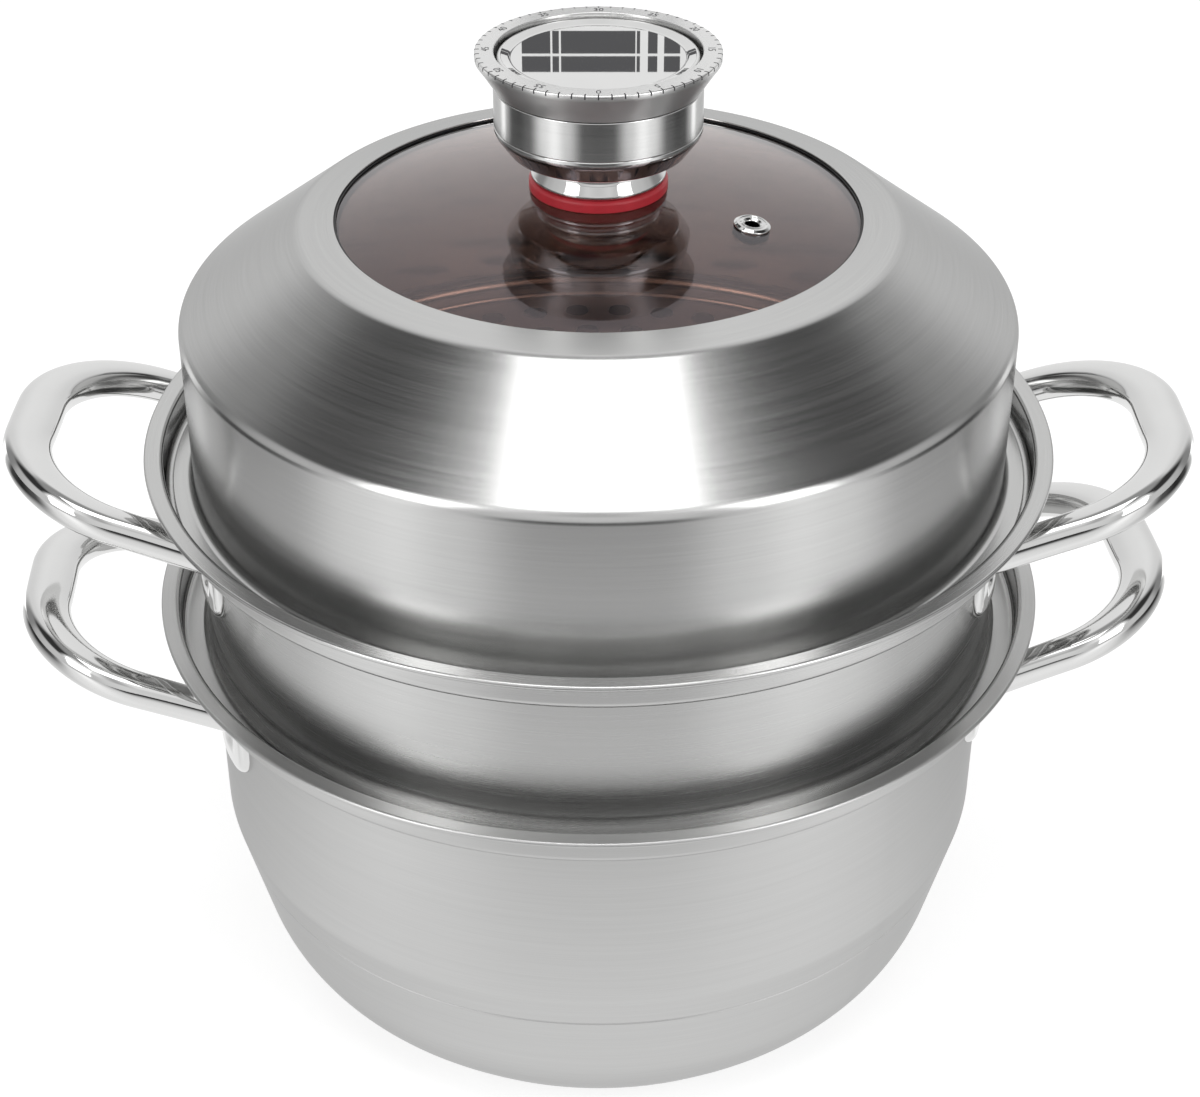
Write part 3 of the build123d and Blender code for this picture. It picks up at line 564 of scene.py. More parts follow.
def piece(name, surface, material, body, slot, *nodes):
    """Make a piece of the part from a surface.

    Points in one place are welded, and a face keeps its distinct corners.
    """
    first, same = welded(surface.points)
    corners = same[surface.faces]
    keep = corners != np.roll(corners, 1, axis=1)
    whole = keep.sum(1) > 2
    corners, keep, loops = corners[whole], keep[whole], surface.faces[whole]
    mesh = bpy.data.meshes.new(name)
    mesh.vertices.add(len(first))
    mesh.vertices.foreach_set("co", surface.points[first].ravel())
    mesh.loops.add(int(keep.sum()))
    mesh.loops.foreach_set("vertex_index", corners[keep])
    mesh.polygons.add(len(keep))
    mesh.polygons.foreach_set("loop_start", np.concatenate([[0], np.cumsum(keep.sum(1))[:-1]]))
    mesh.polygons.foreach_set("use_smooth", np.ones(len(keep), bool))
    mesh.uv_layers.new(name="UVMap").data.foreach_set("uv", surface.uv[loops[keep]].ravel())
    mesh.update(calc_edges=True)
    if mesh.validate():
        raise ValueError(f"the faces of {name} needed repair")
    mesh.normals_split_custom_set(surface.normals[loops[keep]].tolist())
    dressed(name, mesh, material, body, slot, *nodes)


# Materials

def add(tree, kind, inputs=None, **settings):
    """Add a node. An input is a plain value or another node's output."""
    node = tree.nodes.new(kind)
    for key, value in settings.items():
        setattr(node, key, value)
    for key, value in (inputs or {}).items():
        if isinstance(value, bpy.types.NodeSocket):
            tree.links.new(value, node.inputs[key])
        else:
            node.inputs[key].default_value = value
    return node


def calc(tree, operation, first, second=0.0):
    """A Math node's result."""
    return add(tree, "ShaderNodeMath", {0: first, 1: second}, operation=operation).outputs[0]


def spread(tree, value, start, end):
    """A value from 0 to 1 remapped to the range from start to end."""
    return add(tree, "ShaderNodeMapRange", {"Value": value, "To Min": start, "To Max": end}).outputs[0]


def climb(tree, value, limits, kind="LINEAR"):
    """A value remapped to 0 below its limits and 1 above them."""
    inputs = {"Value": value, "From Min": limits[0], "From Max": limits[1]}
    return add(tree, "ShaderNodeMapRange", inputs, interpolation_type=kind).outputs[0]


def blend(tree, factor, first, second):
    """A number between two others."""
    return add(tree, "ShaderNodeMix", {"Factor": factor, "A": first, "B": second}).outputs[0]


def tint(tree, factor, base, darkest, lightest):
    """A colour between two shades of a base, given as shares of it."""
    dark, light = ([min(1.0, channel * level) for channel in base] for level in (darkest, lightest))
    return add(tree, "ShaderNodeMix", {"Factor": factor, 6: (*dark, 1), 7: (*light, 1)},
               data_type="RGBA").outputs[2]


def noise(tree, vector, scale, detail=3.0, roughness=0.55):
    """A noise pattern from 0 to 1."""
    inputs = {"Vector": vector, "Scale": scale, "Detail": detail, "Roughness": roughness}
    return add(tree, "ShaderNodeTexNoise", inputs).outputs["Fac"]


def relief(tree, height, strength, depth):
    """Normals of a surface with a pattern's height."""
    inputs = {"Strength": strength, "Distance": depth, "Height": height}
    return add(tree, "ShaderNodeBump", inputs).outputs[0]


def ground_plan(tree, place):
    """The level part of a vector."""
    return add(tree, "ShaderNodeVectorMath", {0: place, 1: (1, 1, 0)}, operation="MULTIPLY").outputs[0]


def ring_marks(tree, source, plan, run, detail, roughness=0.55):
    """Noise drawn out round the axis: slow over the ground plan and quick along the profile."""
    spot = add(tree, "ShaderNodeSeparateXYZ", {"Vector": source["Object"]}).outputs
    length = add(tree, "ShaderNodeSeparateXYZ", {"Vector": source["UV"]}).outputs[1]
    inputs = {"X": calc(tree, "MULTIPLY", spot[0], plan), "Y": calc(tree, "MULTIPLY", spot[1], plan),
              "Z": calc(tree, "MULTIPLY", length, run)}
    return noise(tree, add(tree, "ShaderNodeCombineXYZ", inputs).outputs[0], 1.0, detail, roughness)


def bare_tree(holder):
    """The emptied node tree of a material or a world."""
    holder.use_nodes = True
    holder.node_tree.nodes.clear()
    return holder.node_tree


def new_material(name):
    """A material and its empty node tree."""
    material = bpy.data.materials.new(name)
    return material, bare_tree(material)


def show(tree, shader):
    """Send a shader to its material's output."""
    add(tree, "ShaderNodeOutputMaterial", {"Surface": shader.outputs[0]})


def brushed(name, base, roughness, anisotropy, depth=0.12):
    """Steel brushed round the axis: fine scratches in the colour, the gloss and the relief.

    Faces that look towards the axis are left as bright as they came from the press.
    """
    vary = 0.07
    material, tree = new_material(name)
    source = add(tree, "ShaderNodeTexCoord").outputs
    scratches = ring_marks(tree, source, plan=28.0, run=3600.0, detail=4.0, roughness=0.65)
    bands = ring_marks(tree, source, plan=9.0, run=520.0, detail=2.0)
    fine = calc(tree, "MULTIPLY", scratches, SCRATCH_SHARE)
    mixed = calc(tree, "ADD", fine, calc(tree, "MULTIPLY", bands, 1 - SCRATCH_SHARE))
    level = ground_plan(tree, source["Object"])
    outward = add(tree, "ShaderNodeVectorMath", {0: level}, operation="NORMALIZE").outputs[0]
    looks = add(tree, "ShaderNodeVectorMath", {0: outward, 1: source["Normal"]}, operation="DOT_PRODUCT")
    inner = calc(tree, "LESS_THAN", looks.outputs["Value"], INWARD)
    rough = spread(tree, mixed, roughness - vary, roughness + vary)
    show(tree, add(tree, "ShaderNodeBsdfPrincipled", {
        "Base Color": tint(tree, mixed, base, 0.86, 1.12),
        "Roughness": calc(tree, "MULTIPLY", rough, spread(tree, inner, 1.0, INNER_GLOSS)),
        "Normal": relief(tree, scratches, depth, SCRATCH_DEPTH),
        "Metallic": 1.0,
        "Specular Tint": GLANCING,
        "Anisotropic": anisotropy,
        "Anisotropic Rotation": ACROSS_MARKS,
    }))
    return material


def polished(name, base, roughness, depth=0.03, under=1.0):
    """Polished metal with faint haze and wipe marks.

    Faces that look down are rougher by the factor under. Where that isn't 1 they keep lathe marks,
    which stretch their highlights.
    """
    stretch = 0.9
    material, tree = new_material(name)
    source = add(tree, "ShaderNodeTexCoord").outputs
    haze = noise(tree, source["Object"], 45.0, detail=4.0)
    wipes = noise(tree, source["Object"], 900.0)
    rough = spread(tree, haze, roughness * 0.6, roughness * 1.5)
    inputs = {
        "Base Color": tint(tree, haze, base, 0.96, 1.04),
        "Roughness": rough,
        "Normal": relief(tree, wipes, depth, SCRATCH_DEPTH),
        "Metallic": 1.0,
    }
    if under != 1.0:
        upward = add(tree, "ShaderNodeSeparateXYZ", {"Vector": source["Normal"]}).outputs[2]
        lower = calc(tree, "LESS_THAN", upward, DOWNWARD)
        inputs["Roughness"] = calc(tree, "MULTIPLY", rough, spread(tree, lower, 1.0, under))
        inputs["Anisotropic"] = calc(tree, "MULTIPLY", lower, stretch)
        inputs["Anisotropic Rotation"] = ACROSS_MARKS
    show(tree, add(tree, "ShaderNodeBsdfPrincipled", inputs))
    return material


def silicone(name, base, roughness):
    """Moulded silicone: a fine matt skin with a little dust in it."""
    vary = 0.08
    material, tree = new_material(name)
    place = add(tree, "ShaderNodeTexCoord").outputs["Object"]
    dust = noise(tree, place, 260.0, detail=5.0)
    skin = noise(tree, place, 2200.0)
    show(tree, add(tree, "ShaderNodeBsdfPrincipled", {
        "Base Color": tint(tree, dust, base, 0.85, 1.18),
        "Roughness": spread(tree, dust, roughness - vary, roughness + vary),
        "Normal": relief(tree, skin, 0.1, SKIN_DEPTH),
    }))
    return material


def cast(name, base, roughness):
    """Machined metal of the inner pieces: a fine grain over a slow change of shade."""
    material, tree = new_material(name)
    place = add(tree, "ShaderNodeTexCoord").outputs["Object"]
    grain = noise(tree, place, 1400.0, detail=5.0)
    cloud = noise(tree, place, 60.0)
    mixed = calc(tree, "MULTIPLY", grain, cloud)
    show(tree, add(tree, "ShaderNodeBsdfPrincipled", {
        "Base Color": tint(tree, cloud, base, 0.84, 1.08),
        "Roughness": spread(tree, mixed, roughness - 0.1, roughness + 0.2),
        "Metallic": 1.0,
    }))
    return material


def turned(name, base, roughness):
    """Sheet faced on a lathe: fine rings round the axis in the colour, the gloss and the relief."""
    vary = 0.1
    rings_per_metre = 2200.0
    material, tree = new_material(name)
    place = add(tree, "ShaderNodeTexCoord").outputs["Object"]
    level = ground_plan(tree, place)
    radius = add(tree, "ShaderNodeVectorMath", {0: level}, operation="LENGTH").outputs["Value"]
    rings = add(tree, "ShaderNodeCombineXYZ", {"X": calc(tree, "MULTIPLY", radius, rings_per_metre)})
    grooves = noise(tree, rings.outputs[0], 1.0)
    mixed = calc(tree, "MULTIPLY", calc(tree, "ADD", grooves, noise(tree, place, 25.0)), 0.5)
    show(tree, add(tree, "ShaderNodeBsdfPrincipled", {
        "Base Color": tint(tree, mixed, base, 0.8, 1.12),
        "Roughness": spread(tree, mixed, roughness - vary, roughness + vary),
        "Normal": relief(tree, grooves, 0.25, GROOVE_DEPTH),
        "Metallic": 1.0,
    }))
    return material


def smoked_glass(name, base):
    """Tinted glass with the faintest haze of a wiped surface."""
    material, tree = new_material(name)
    place = add(tree, "ShaderNodeTexCoord").outputs["Object"]
    wipe = noise(tree, place, 30.0, detail=4.0)
    show(tree, add(tree, "ShaderNodeBsdfPrincipled", {
        "Base Color": tint(tree, wipe, base, 0.96, 1.04),
        "Roughness": spread(tree, wipe, 0.0, 0.02),
        "Transmission Weight": 1.0,
        "IOR": 1.5,
        "Specular Tint": GLASS_GLARE,
        "Coat Weight": 0.5,
        "Coat Roughness": 0.0,
        "Coat IOR": 1.36,
    }))
    return material


def finish(name):
    """The material of that name, made when it is first asked for."""
    tones = bpy.context.scene.steamer_finishes
    makers = {
        "lid_brushed": (brushed, tones.steel, 0.24, 0.45),
        "tier_brushed": (brushed, tones.steel, 0.26, 0.45),
        "pot_satin": (brushed, tones.steel, 0.36, 0.45, 0.08),
        "tray_satin": (brushed, tones.polish, 0.58, 0.2),
        "polished": (polished, tones.polish, 0.06),
        "mirror": (polished, tones.polish, 0.015, 0.002),
        "drum_brushed": (brushed, tones.polish, 0.16, 0.6, 0.04),
        "bezel_satin": (polished, tones.polish, 0.25, 0.03, 1.6),
        "smoked": (smoked_glass, tones.glass),
        "red": (silicone, tones.red, 0.42),
        "black": (silicone, tones.black, 0.45),
        "marking": (silicone, tones.marking, 0.5),
        "brass": (cast, tones.brass, 0.3),
        "plain_steel": (cast, tones.steel, 0.32),
        "turned_steel": (turned, tones.steel, 0.3),
        "aluminium": (cast, tones.aluminium, 0.4),
    }
    maker, *values = makers[name]
    return bpy.data.materials.get(name) or maker(name, *values)


# Profiles

def wall_radius(stack):
    """Outside of the pot's and the tier's upright walls."""
    return stack.rim_radius - stack.rim_width - stack.seat_width


def rim_run(stack, rim_top):
    """Outside of the step and rim at the top of the pot or the tier, with its bends."""
    wall = wall_radius(stack)
    drop = wall + stack.seat_width
    step = rim_top - stack.seat_drop - stack.sheet
    hem = stack.rim_radius - stack.rim_edge
    points = [(wall, step), (drop, step), (drop, rim_top - stack.sheet), (hem, rim_top - stack.sheet)]
    return points, [stack.seat_bend, stack.seat_bend + stack.sheet, stack.rim_bend]


def hem_run(stack, rim_top):
    """The rolled edge of a rim, from its underside round to its top, with its bends."""
    hem = stack.rim_radius - stack.rim_edge
    bottom = rim_top - stack.rim_edge
    points = [(hem, bottom), (stack.rim_radius, bottom), (stack.rim_radius, rim_top)]
    return points, [stack.rim_edge / 2 * part for part in ROLL_BENDS]


def inner_side(outside, bends, sheet):
    """Inside of a bent sheet from its end back to its start, with bends that differ by the sheet."""
    runs = np.diff(outside, axis=0)
    inwards = left_turn(runs[:-1], runs[1:]) > 0
    inner_bends = np.where(inwards, np.maximum(bends - sheet, LEAST_BEND), bends + sheet)
    return offset(outside, sheet)[::-1], inner_bends[::-1]


def rimmed_profile(stack, rim_top, points, bends):
    """Run of a sheet with a rolled rim: its outside, the rolled edge and its inside back to the start."""
    rim, rim_bends = rim_run(stack, rim_top)
    outside = np.array(points + rim)
    bends = np.array(bends + rim_bends)
    roll, roll_bends = hem_run(stack, rim_top)
    inside, inner_bends = inner_side(outside, bends, stack.sheet)
    line = np.concatenate([outside, roll, inside[1:]])
    return rounded(line, np.concatenate([bends, roll_bends, inner_bends]))


def sheet_loop(points, bends, sheet, edge):
    """Closed section of a bent sheet with free edges: its outside, then its inside back to the start."""
    outside, bends = np.array(points), np.array(bends)
    inside, inner_bends = inner_side(outside, bends, sheet)
    corners = [[edge], bends, [edge, edge], inner_bends, [edge]]
    return rounded(np.concatenate([outside, inside]), np.concatenate(corners), closed=True)


def arc_through(first, middle, last, count):
    """Points and tangents of the circle through three points; its centre is equally far from all three."""
    a, b, c = (np.array(point, float) for point in (first, middle, last))
    sides = 2 * np.array([b - a, c - a])
    centre = np.linalg.solve(sides, [b @ b - a @ a, c @ c - a @ a])
    start, end = (np.arctan2(*(point - centre)[::-1]) for point in (a, c))
    way = np.arctan2(np.sin(end - start), np.cos(end - start))
    angle = start + np.linspace(0, way, count)
    radial = np.stack([np.cos(angle), np.sin(angle)], 1)
    tangents = np.sign(way) * np.stack([-radial[:, 1], radial[:, 0]], 1)
    return centre + np.linalg.norm(a - centre) * radial, tangents


# Operators

class PotOperator(bpy.types.Operator):
    """Spin the pot's shell with its belly, crease, step and rolled rim"""
    bl_idname = "steamer.pot"
    bl_label = "Pot"

    def execute(self, context):
        stack, pot = context.scene.steamer_stack, context.scene.steamer_pot
        floor = low("pot_shell")
        wall = wall_radius(stack)
        base = pot.base_radius + (pot.belly_radius - pot.base_radius) * floor / pot.belly_height
        lean = (wall - pot.belly_radius) / (pot.taper_height - pot.belly_height)
        level = pot.crease_height
        crease = pot.belly_radius + lean * (level - pot.belly_height)
        half = pot.crease_width / 2
        points = [(0, floor), (base, floor), (pot.belly_radius, pot.belly_height)]
        points += [(crease - lean * half, level - half), (crease - pot.crease_depth, level)]
        points += [(crease + lean * half, level + half), (wall, pot.taper_height)]
        crease_bends = [half / 2] * 3
        bends = [pot.base_bend, pot.belly_bend, *crease_bends, pot.taper_bend]
        line, slope = rimmed_profile(stack, high("pot_shell"), points, bends)
        piece("pot_body", spun(line, slope), finish("pot_satin"), "pot", "pot_steel", "pot_shell")
        return {"FINISHED"}


class TierOperator(bpy.types.Operator):
    """Spin the steam tier with its foot, step, rolled rim and perforated floor"""
    bl_idname = "steamer.tier"
    bl_label = "Tier"

    def execute(self, context):
        stack, tier = context.scene.steamer_stack, context.scene.steamer_tier
        floor = low("tier_shell")
        seat = high("pot_shell") - stack.seat_drop
        wall = wall_radius(stack)
        spigot = wall - stack.sheet - stack.fit_gap
        plate = spigot - tier.spigot_bend - stack.sheet
        points = [(plate, floor), (spigot, floor), (spigot, seat), (wall + tier.foot_flare, seat)]
        points.append((wall, seat + tier.foot_height))
        bends = [tier.spigot_bend, stack.seat_bend, tier.foot_bend, tier.foot_height]
        line, slope = rimmed_profile(stack, high("tier_shell"), points, bends)
        surface = joined(spun(line, slope, plate), steam_floor(stack, plate, spigot, floor))
        piece("tier_body", surface, finish("tier_brushed"), "tier", "tier_steel", "tier_shell")
        return {"FINISHED"}


class TrayOperator(bpy.types.Operator):
    """Spin the perforated tray that hangs in the tier"""
    bl_idname = "steamer.tray"
    bl_label = "Tray"

    def execute(self, context):
        stack, tier = context.scene.steamer_stack, context.scene.steamer_tier
        bottom = low("steam_tray")
        flange = high("steam_tray") - stack.sheet
        side = wall_radius(stack) - stack.sheet - stack.fit_gap
        plate = side - tier.tray_bend - stack.sheet
        points = np.array([(plate, bottom), (side, bottom), (side, flange), (reach("steam_tray"), flange)])
        bends = np.array([tier.tray_bend, stack.seat_bend + stack.sheet + stack.fit_gap])
        inside, inner_bends = inner_side(points, bends, stack.sheet)
        bends = np.concatenate([bends, [CUT_EDGE, CUT_EDGE], inner_bends])
        line, slope = rounded(np.concatenate([points, inside]), bends)
        surface = joined(spun(line, slope, plate), steam_floor(stack, plate, side, bottom))
        piece("tray_plate", surface, finish("tray_satin"), "tray", "inner_steel", "steam_tray")
        return {"FINISHED"}


def oval(sides, power):
    """A closed superellipse with unit half widths: (sign(c) |c|^(2/p), sign(s) |s|^(2/p))."""
    angle = np.linspace(0, 2 * pi, sides + 1)
    legs = np.stack([np.cos(angle), np.sin(angle)], -1)
    return np.sign(legs) * np.abs(legs) ** (2 / power)


def cut_by_wall(ring, heading, wall):
    """A ring of points slid along a heading until |P + t h| is the wall's radius at each."""
    a = heading[0] ** 2 + heading[1] ** 2
    b = 2 * ring[:, :2] @ heading[:2]
    c = (ring[:, :2] ** 2).sum(1) - wall ** 2
    return ring + ((-b - np.sqrt(b * b - 4 * a * c)) / (2 * a))[:, None] * heading


def handle_bar(handle, wall, sheet, leg_level):
    """The loop: an oval carried along two legs and a grip, with both ends cut off by the wall.

    The path lies in a plane that climbs from the wall. The oval's width follows sin^2 along the path,
    from the legs' to the grip's.
    """
    root = 2 * handle.pad_thickness
    way = (root + handle.thickness) / (handle.reach + handle.thickness)
    span = handle.span + way * (handle.grip - handle.span)
    near = [(root, -span), (handle.reach, -handle.grip)]
    far = [(handle.reach, handle.grip), (root, span)]
    line, slope = rounded(near + far, [handle.bend, handle.bend], steps=BAR_BEND_STEPS)
    length = np.concatenate([[0], np.cumsum(np.linalg.norm(np.diff(line, axis=0), axis=1))])
    even = np.linspace(0, length[-1], BAR_STEPS)
    path = np.stack([np.interp(even, length, line[:, k]) for k in (0, 1)], 1)
    heading = unit(np.stack([np.interp(even, length, slope[:, k]) for k in (0, 1)], 1))
    outward = np.array([cos(handle.tilt), 0, sin(handle.tilt)])
    above = np.array([-sin(handle.tilt), 0, cos(handle.tilt)])
    sideways = np.array([0.0, 1.0, 0.0])
    wall_x = (wall ** 2 - handle.span ** 2) ** 0.5
    middle = np.array([wall_x, 0, leg_level]) + path[:, :1] * outward + path[:, 1:] * sideways
    forward = heading[:, :1] * outward + heading[:, 1:] * sideways
    across = np.cross(above, forward)
    shape = oval(BAR_SIDES, handle.squareness)
    swell = np.sin(pi * even / even[-1]) ** 2
    half_width = (handle.leg_width + (handle.grip_width - handle.leg_width) * swell) / 2
    points = middle[:, None] + half_width[:, None, None] * shape[None, :, :1] * across[:, None]
    points = points + handle.thickness / 2 * shape[None, :, 1:] * above
    first = cut_by_wall(points[0], -forward[0], wall - sheet / 2)
    last = cut_by_wall(points[-1], forward[-1], wall - sheet / 2)
    return np.concatenate([first[None], points, last[None]])


def handle_pad(handle, wall, sheet, pad_level, azimuth):
    """A weld pad: a superellipse on the wall. Its round edge is inset by E (1 - cos e) and raised by E sin e.

    The weld's dimple in its middle is D (1 + cos(pi s / w)) / 2 deep at the share s of the pad's size.
    """
    edge = np.linspace(0, pi / 2, PAD_EDGE_STEPS)
    face = np.linspace(1, 0, PAD_FACE_STEPS)[1:]
    dimple = handle.dimple_depth * (1 + np.cos(pi * np.minimum(face / handle.dimple_share, 1))) / 2
    inset = handle.pad_thickness * (1 - np.cos(edge))
    scale = np.concatenate([np.ones(len(edge)), face])[:, None]
    inset = np.concatenate([inset, np.full(len(face), inset[-1])])[:, None]
    rise = np.concatenate([handle.pad_thickness * np.sin(edge), handle.pad_thickness - dimple])[:, None]
    shape = oval(PAD_SIDES, handle.pad_squareness)
    along = scale * (handle.pad_width / 2 - inset) * shape[:, 0]
    up = scale * (handle.pad_height / 2 - inset) * shape[:, 1]
    turn = azimuth + along / wall
    radius = wall - sheet / 2 + rise * (1 + sheet / 2 / handle.pad_thickness)
    return np.stack([radius * np.cos(turn), radius * np.sin(turn), pad_level + up], -1)


class HandlesOperator(bpy.types.Operator):
    """Sweep the four loop handles and their weld pads"""
    bl_idname = "steamer.handles"
    bl_label = "Handles"

    def execute(self, context):
        stack, handle = context.scene.steamer_stack, context.scene.steamer_handle
        wall = wall_radius(stack)
        azimuth = np.arcsin(handle.span / wall)
        for body, shell, turn in (("pot", "pot_shell", handle.pot_turn), ("tier", "tier_shell", 0.0)):
            leg_level = high(shell) - handle.drop
            pad_level = leg_level - handle.pad_drop
            grids = [handle_bar(handle, wall, stack.sheet, leg_level)]
            grids += [handle_pad(handle, wall, stack.sheet, pad_level, end * azimuth) for end in (-1, 1)]
            for side, way in (("right", turn), ("left", turn + pi)):
                about = np.array([[cos(way), sin(way), 0], [-sin(way), cos(way), 0], [0, 0, 1]])
                swung = [grid @ about for grid in grids]
                loop = joined(*(tube(grid, facing(grid)) for grid in swung))
                piece(f"{body}_grip_{side}", loop, finish("polished"), body, "polished_steel",
                      f"{body}_handle_{side}")
        return {"FINISHED"}


class LidOperator(bpy.types.Operator):
    """Spin the lid's shell with its foot, wall, conical shoulder and crown"""
    bl_idname = "steamer.lid"
    bl_label = "Lid"

    def execute(self, context):
        stack, lid = context.scene.steamer_stack, context.scene.steamer_lid
        foot = low("lid_shell") + stack.sheet
        seat = high("tier_shell") - stack.seat_drop
        wall = wall_radius(stack) + lid.swell
        points = [(reach("lid_shell"), foot), (wall, foot), (wall, seat + lid.shoulder_height)]
        points += [(lid.crown_radius, seat + lid.crown_height), (lid.glass_radius, high("lid_shell"))]
        bends = [lid.foot_bend, lid.shoulder_bend, lid.crown_bend]
        line, slope = sheet_loop(points, bends, stack.sheet, CUT_EDGE)
        piece("lid_body", spun(line, slope), finish("lid_brushed"), "lid", "lid_steel", "lid_shell")
        return {"FINISHED"}


def dome(lid):
    """Radius of the dome's sphere and the level of its centre."""
    radius = (lid.glass_radius ** 2 + lid.dome_rise ** 2) / (2 * lid.dome_rise)
    return radius, high("lid_glass") - radius


def vent_place(lid):
    """Ground plan of the steam vent."""
    return lid.vent_distance * np.array([cos(lid.vent_azimuth), sin(lid.vent_azimuth)])


class GlassOperator(bpy.types.Operator):
    """Make the tinted glass dome with its holes for the knob and the vent"""
    bl_idname = "steamer.glass"
    bl_label = "Glass"

    def execute(self, context):
        lid, knob = context.scene.steamer_lid, context.scene.steamer_knob
        radius, centre = dome(lid)
        inner = 1 - lid.glass_thickness / radius

        def outside(spots):
            level = np.sqrt(radius ** 2 - (spots ** 2).sum(1))
            across = np.column_stack([spots, level])
            return across + [0, 0, centre], across / radius

        def inside(spots):
            points, normals = outside(spots)
            return (points - [0, 0, centre]) * inner + [0, 0, centre], -normals

        centres = np.array([[0, 0], vent_place(lid)])
        radii = np.array([knob.glass_hole, lid.vent_tube])
        edge = reach("lid_glass")
        rings = np.linspace(knob.glass_hole, edge, GLASS_RINGS)[1:-1]
        stuffing = (rings[:, None, None] * circle(GLASS_SPOKES)).reshape(-1, 2)
        skins = plate_between(edge, centres, radii, outside, inside, stuffing)
        around = circle(TURNS, BACK)
        around = np.concatenate([around, around[:1]])
        level = np.column_stack([around, np.zeros(len(around))])
        points = np.stack([inside(edge * around)[0], outside(edge * around)[0]])
        wall = grid_surface(points, np.stack([level, level]))
        piece("glass_dome", joined(skins, wall), finish("smoked"), "lid", "smoked_glass", "lid_glass")
        return {"FINISHED"}


class SealOperator(bpy.types.Operator):
    """Make the black seal whose lip shows between the crown and the glass"""
    bl_idname = "steamer.seal"
    bl_label = "Seal"

    def execute(self, context):
        stack, lid = context.scene.steamer_stack, context.scene.steamer_lid
        radius, centre = dome(lid)
        outer = reach("glass_seal")
        lip = lid.glass_radius - lid.seal_lip
        crown = high("lid_shell")
        slope = lid.crown_rise / (lid.crown_radius - lid.glass_radius)
        ceiling = crown - stack.sheet - lid.seal_gap
        ring = np.linspace(lip, outer, SEAL_STEPS)
        over_glass = centre + np.sqrt((radius + lid.seal_gap) ** 2 - ring ** 2)
        top = [(outer, ceiling - slope * (outer - lid.glass_radius)), (lid.glass_radius, ceiling)]
        top.append((lip, crown - lid.seal_depth * stack.sheet))
        points = np.concatenate([np.stack([ring, over_glass], 1), top])
        line, tangent = rounded(points, np.full(len(points), FINE_BEND), closed=True)
        piece("seal_lip", spun(line, tangent), finish("black"), "lid", "black_silicone", "glass_seal")
        return {"FINISHED"}


class VentOperator(bpy.types.Operator):
    """Spin the eyelet of the steam vent, square to the dome"""
    bl_idname = "steamer.vent"
    bl_label = "Vent"

    def execute(self, context):
        lid = context.scene.steamer_lid
        radius, centre = dome(lid)
        rise = lid.vent_height
        foot = low("vent_eyelet") - high("vent_eyelet") + rise
        collar, pipe, hole = lid.vent_radius, lid.vent_tube, lid.vent_hole
        lip = hole + lid.vent_lip
        edge, hollow, throat = 0.45 * rise, 0.72 * rise, 0.5 * rise
        points = [(hole, foot), (pipe, foot), (pipe, CLEARANCE), (collar, CLEARANCE), (collar, edge)]
        points += [(collar - lid.vent_slope, rise), (lip + lid.vent_lip, hollow), (lip, rise), (hole, throat)]
        bends_mm = [0.2, 0.2, 0.15, 0.2, 0.3, 0.5, 0.4, 0.3, 0.4]
        eyelet = spun(*rounded(points, np.array(bends_mm) * MM, closed=True))
        place = Vector((*vent_place(lid), (radius ** 2 - lid.vent_distance ** 2) ** 0.5))
        turn = np.array(Vector((0, 0, 1)).rotation_difference(place).to_matrix())
        points = eyelet.points @ turn.T + np.array(place) + [0, 0, centre]
        eyelet = eyelet._replace(points=points, normals=eyelet.normals @ turn.T)
        piece("vent_collar", eyelet, finish("polished"), "lid", "polished_steel", "vent_eyelet")
        return {"FINISHED"}


def gasket_section(knob, lid, top):
    """The red gasket: it follows the glass below and is pressed flat above."""
    radius, centre = dome(lid)
    outer = reach("knob_gasket")
    seat = np.linspace(knob.glass_hole, outer, GASKET_STEPS)
    on_glass = centre + np.sqrt(radius ** 2 - seat ** 2) + CLEARANCE
    points = np.concatenate([np.stack([seat, on_glass], 1), [(outer, top), (knob.glass_hole, top)]])
    bends = [FINE_BEND] * (GASKET_STEPS - 1) + [knob.gasket_edge, knob.gasket_round, LEAST_BEND]
    return rounded(points, bends, closed=True)


def neck_section(knob, foot):
    """The neck: its foot on the gasket, and the bowl that opens towards the drum."""
    floor = high("knob_gasket") + knob.neck_height
    side = floor + knob.bowl_floor_rise
    drum = reach("knob_drum")
    points = [(knob.screw_hole, foot), (knob.neck_foot, foot), (knob.neck_radius, floor)]
    points += [(knob.bowl_radius, side), (drum, side + knob.bowl_side_rise), (drum, high("knob_neck"))]
    bends = [knob.foot_bend, knob.neck_bend, knob.bowl_bend, knob.bowl_bend]
    return sheet_loop(points, bends, knob.sheet, knob.edge_round)


def drum_section(knob):
    """The drum: an upright wall with a shelf at its foot."""
    bottom, top = low("knob_drum"), high("knob_drum")
    outer = reach("knob_drum")
    inner = outer - knob.sheet
    shelf = inner - knob.shelf_width
    points = [(shelf, bottom), (outer, bottom), (outer, top), (inner, top)]
    points += [(inner, bottom + knob.sheet), (shelf, bottom + knob.sheet)]
    return rounded(points, np.full(len(points), knob.edge_round), closed=True)


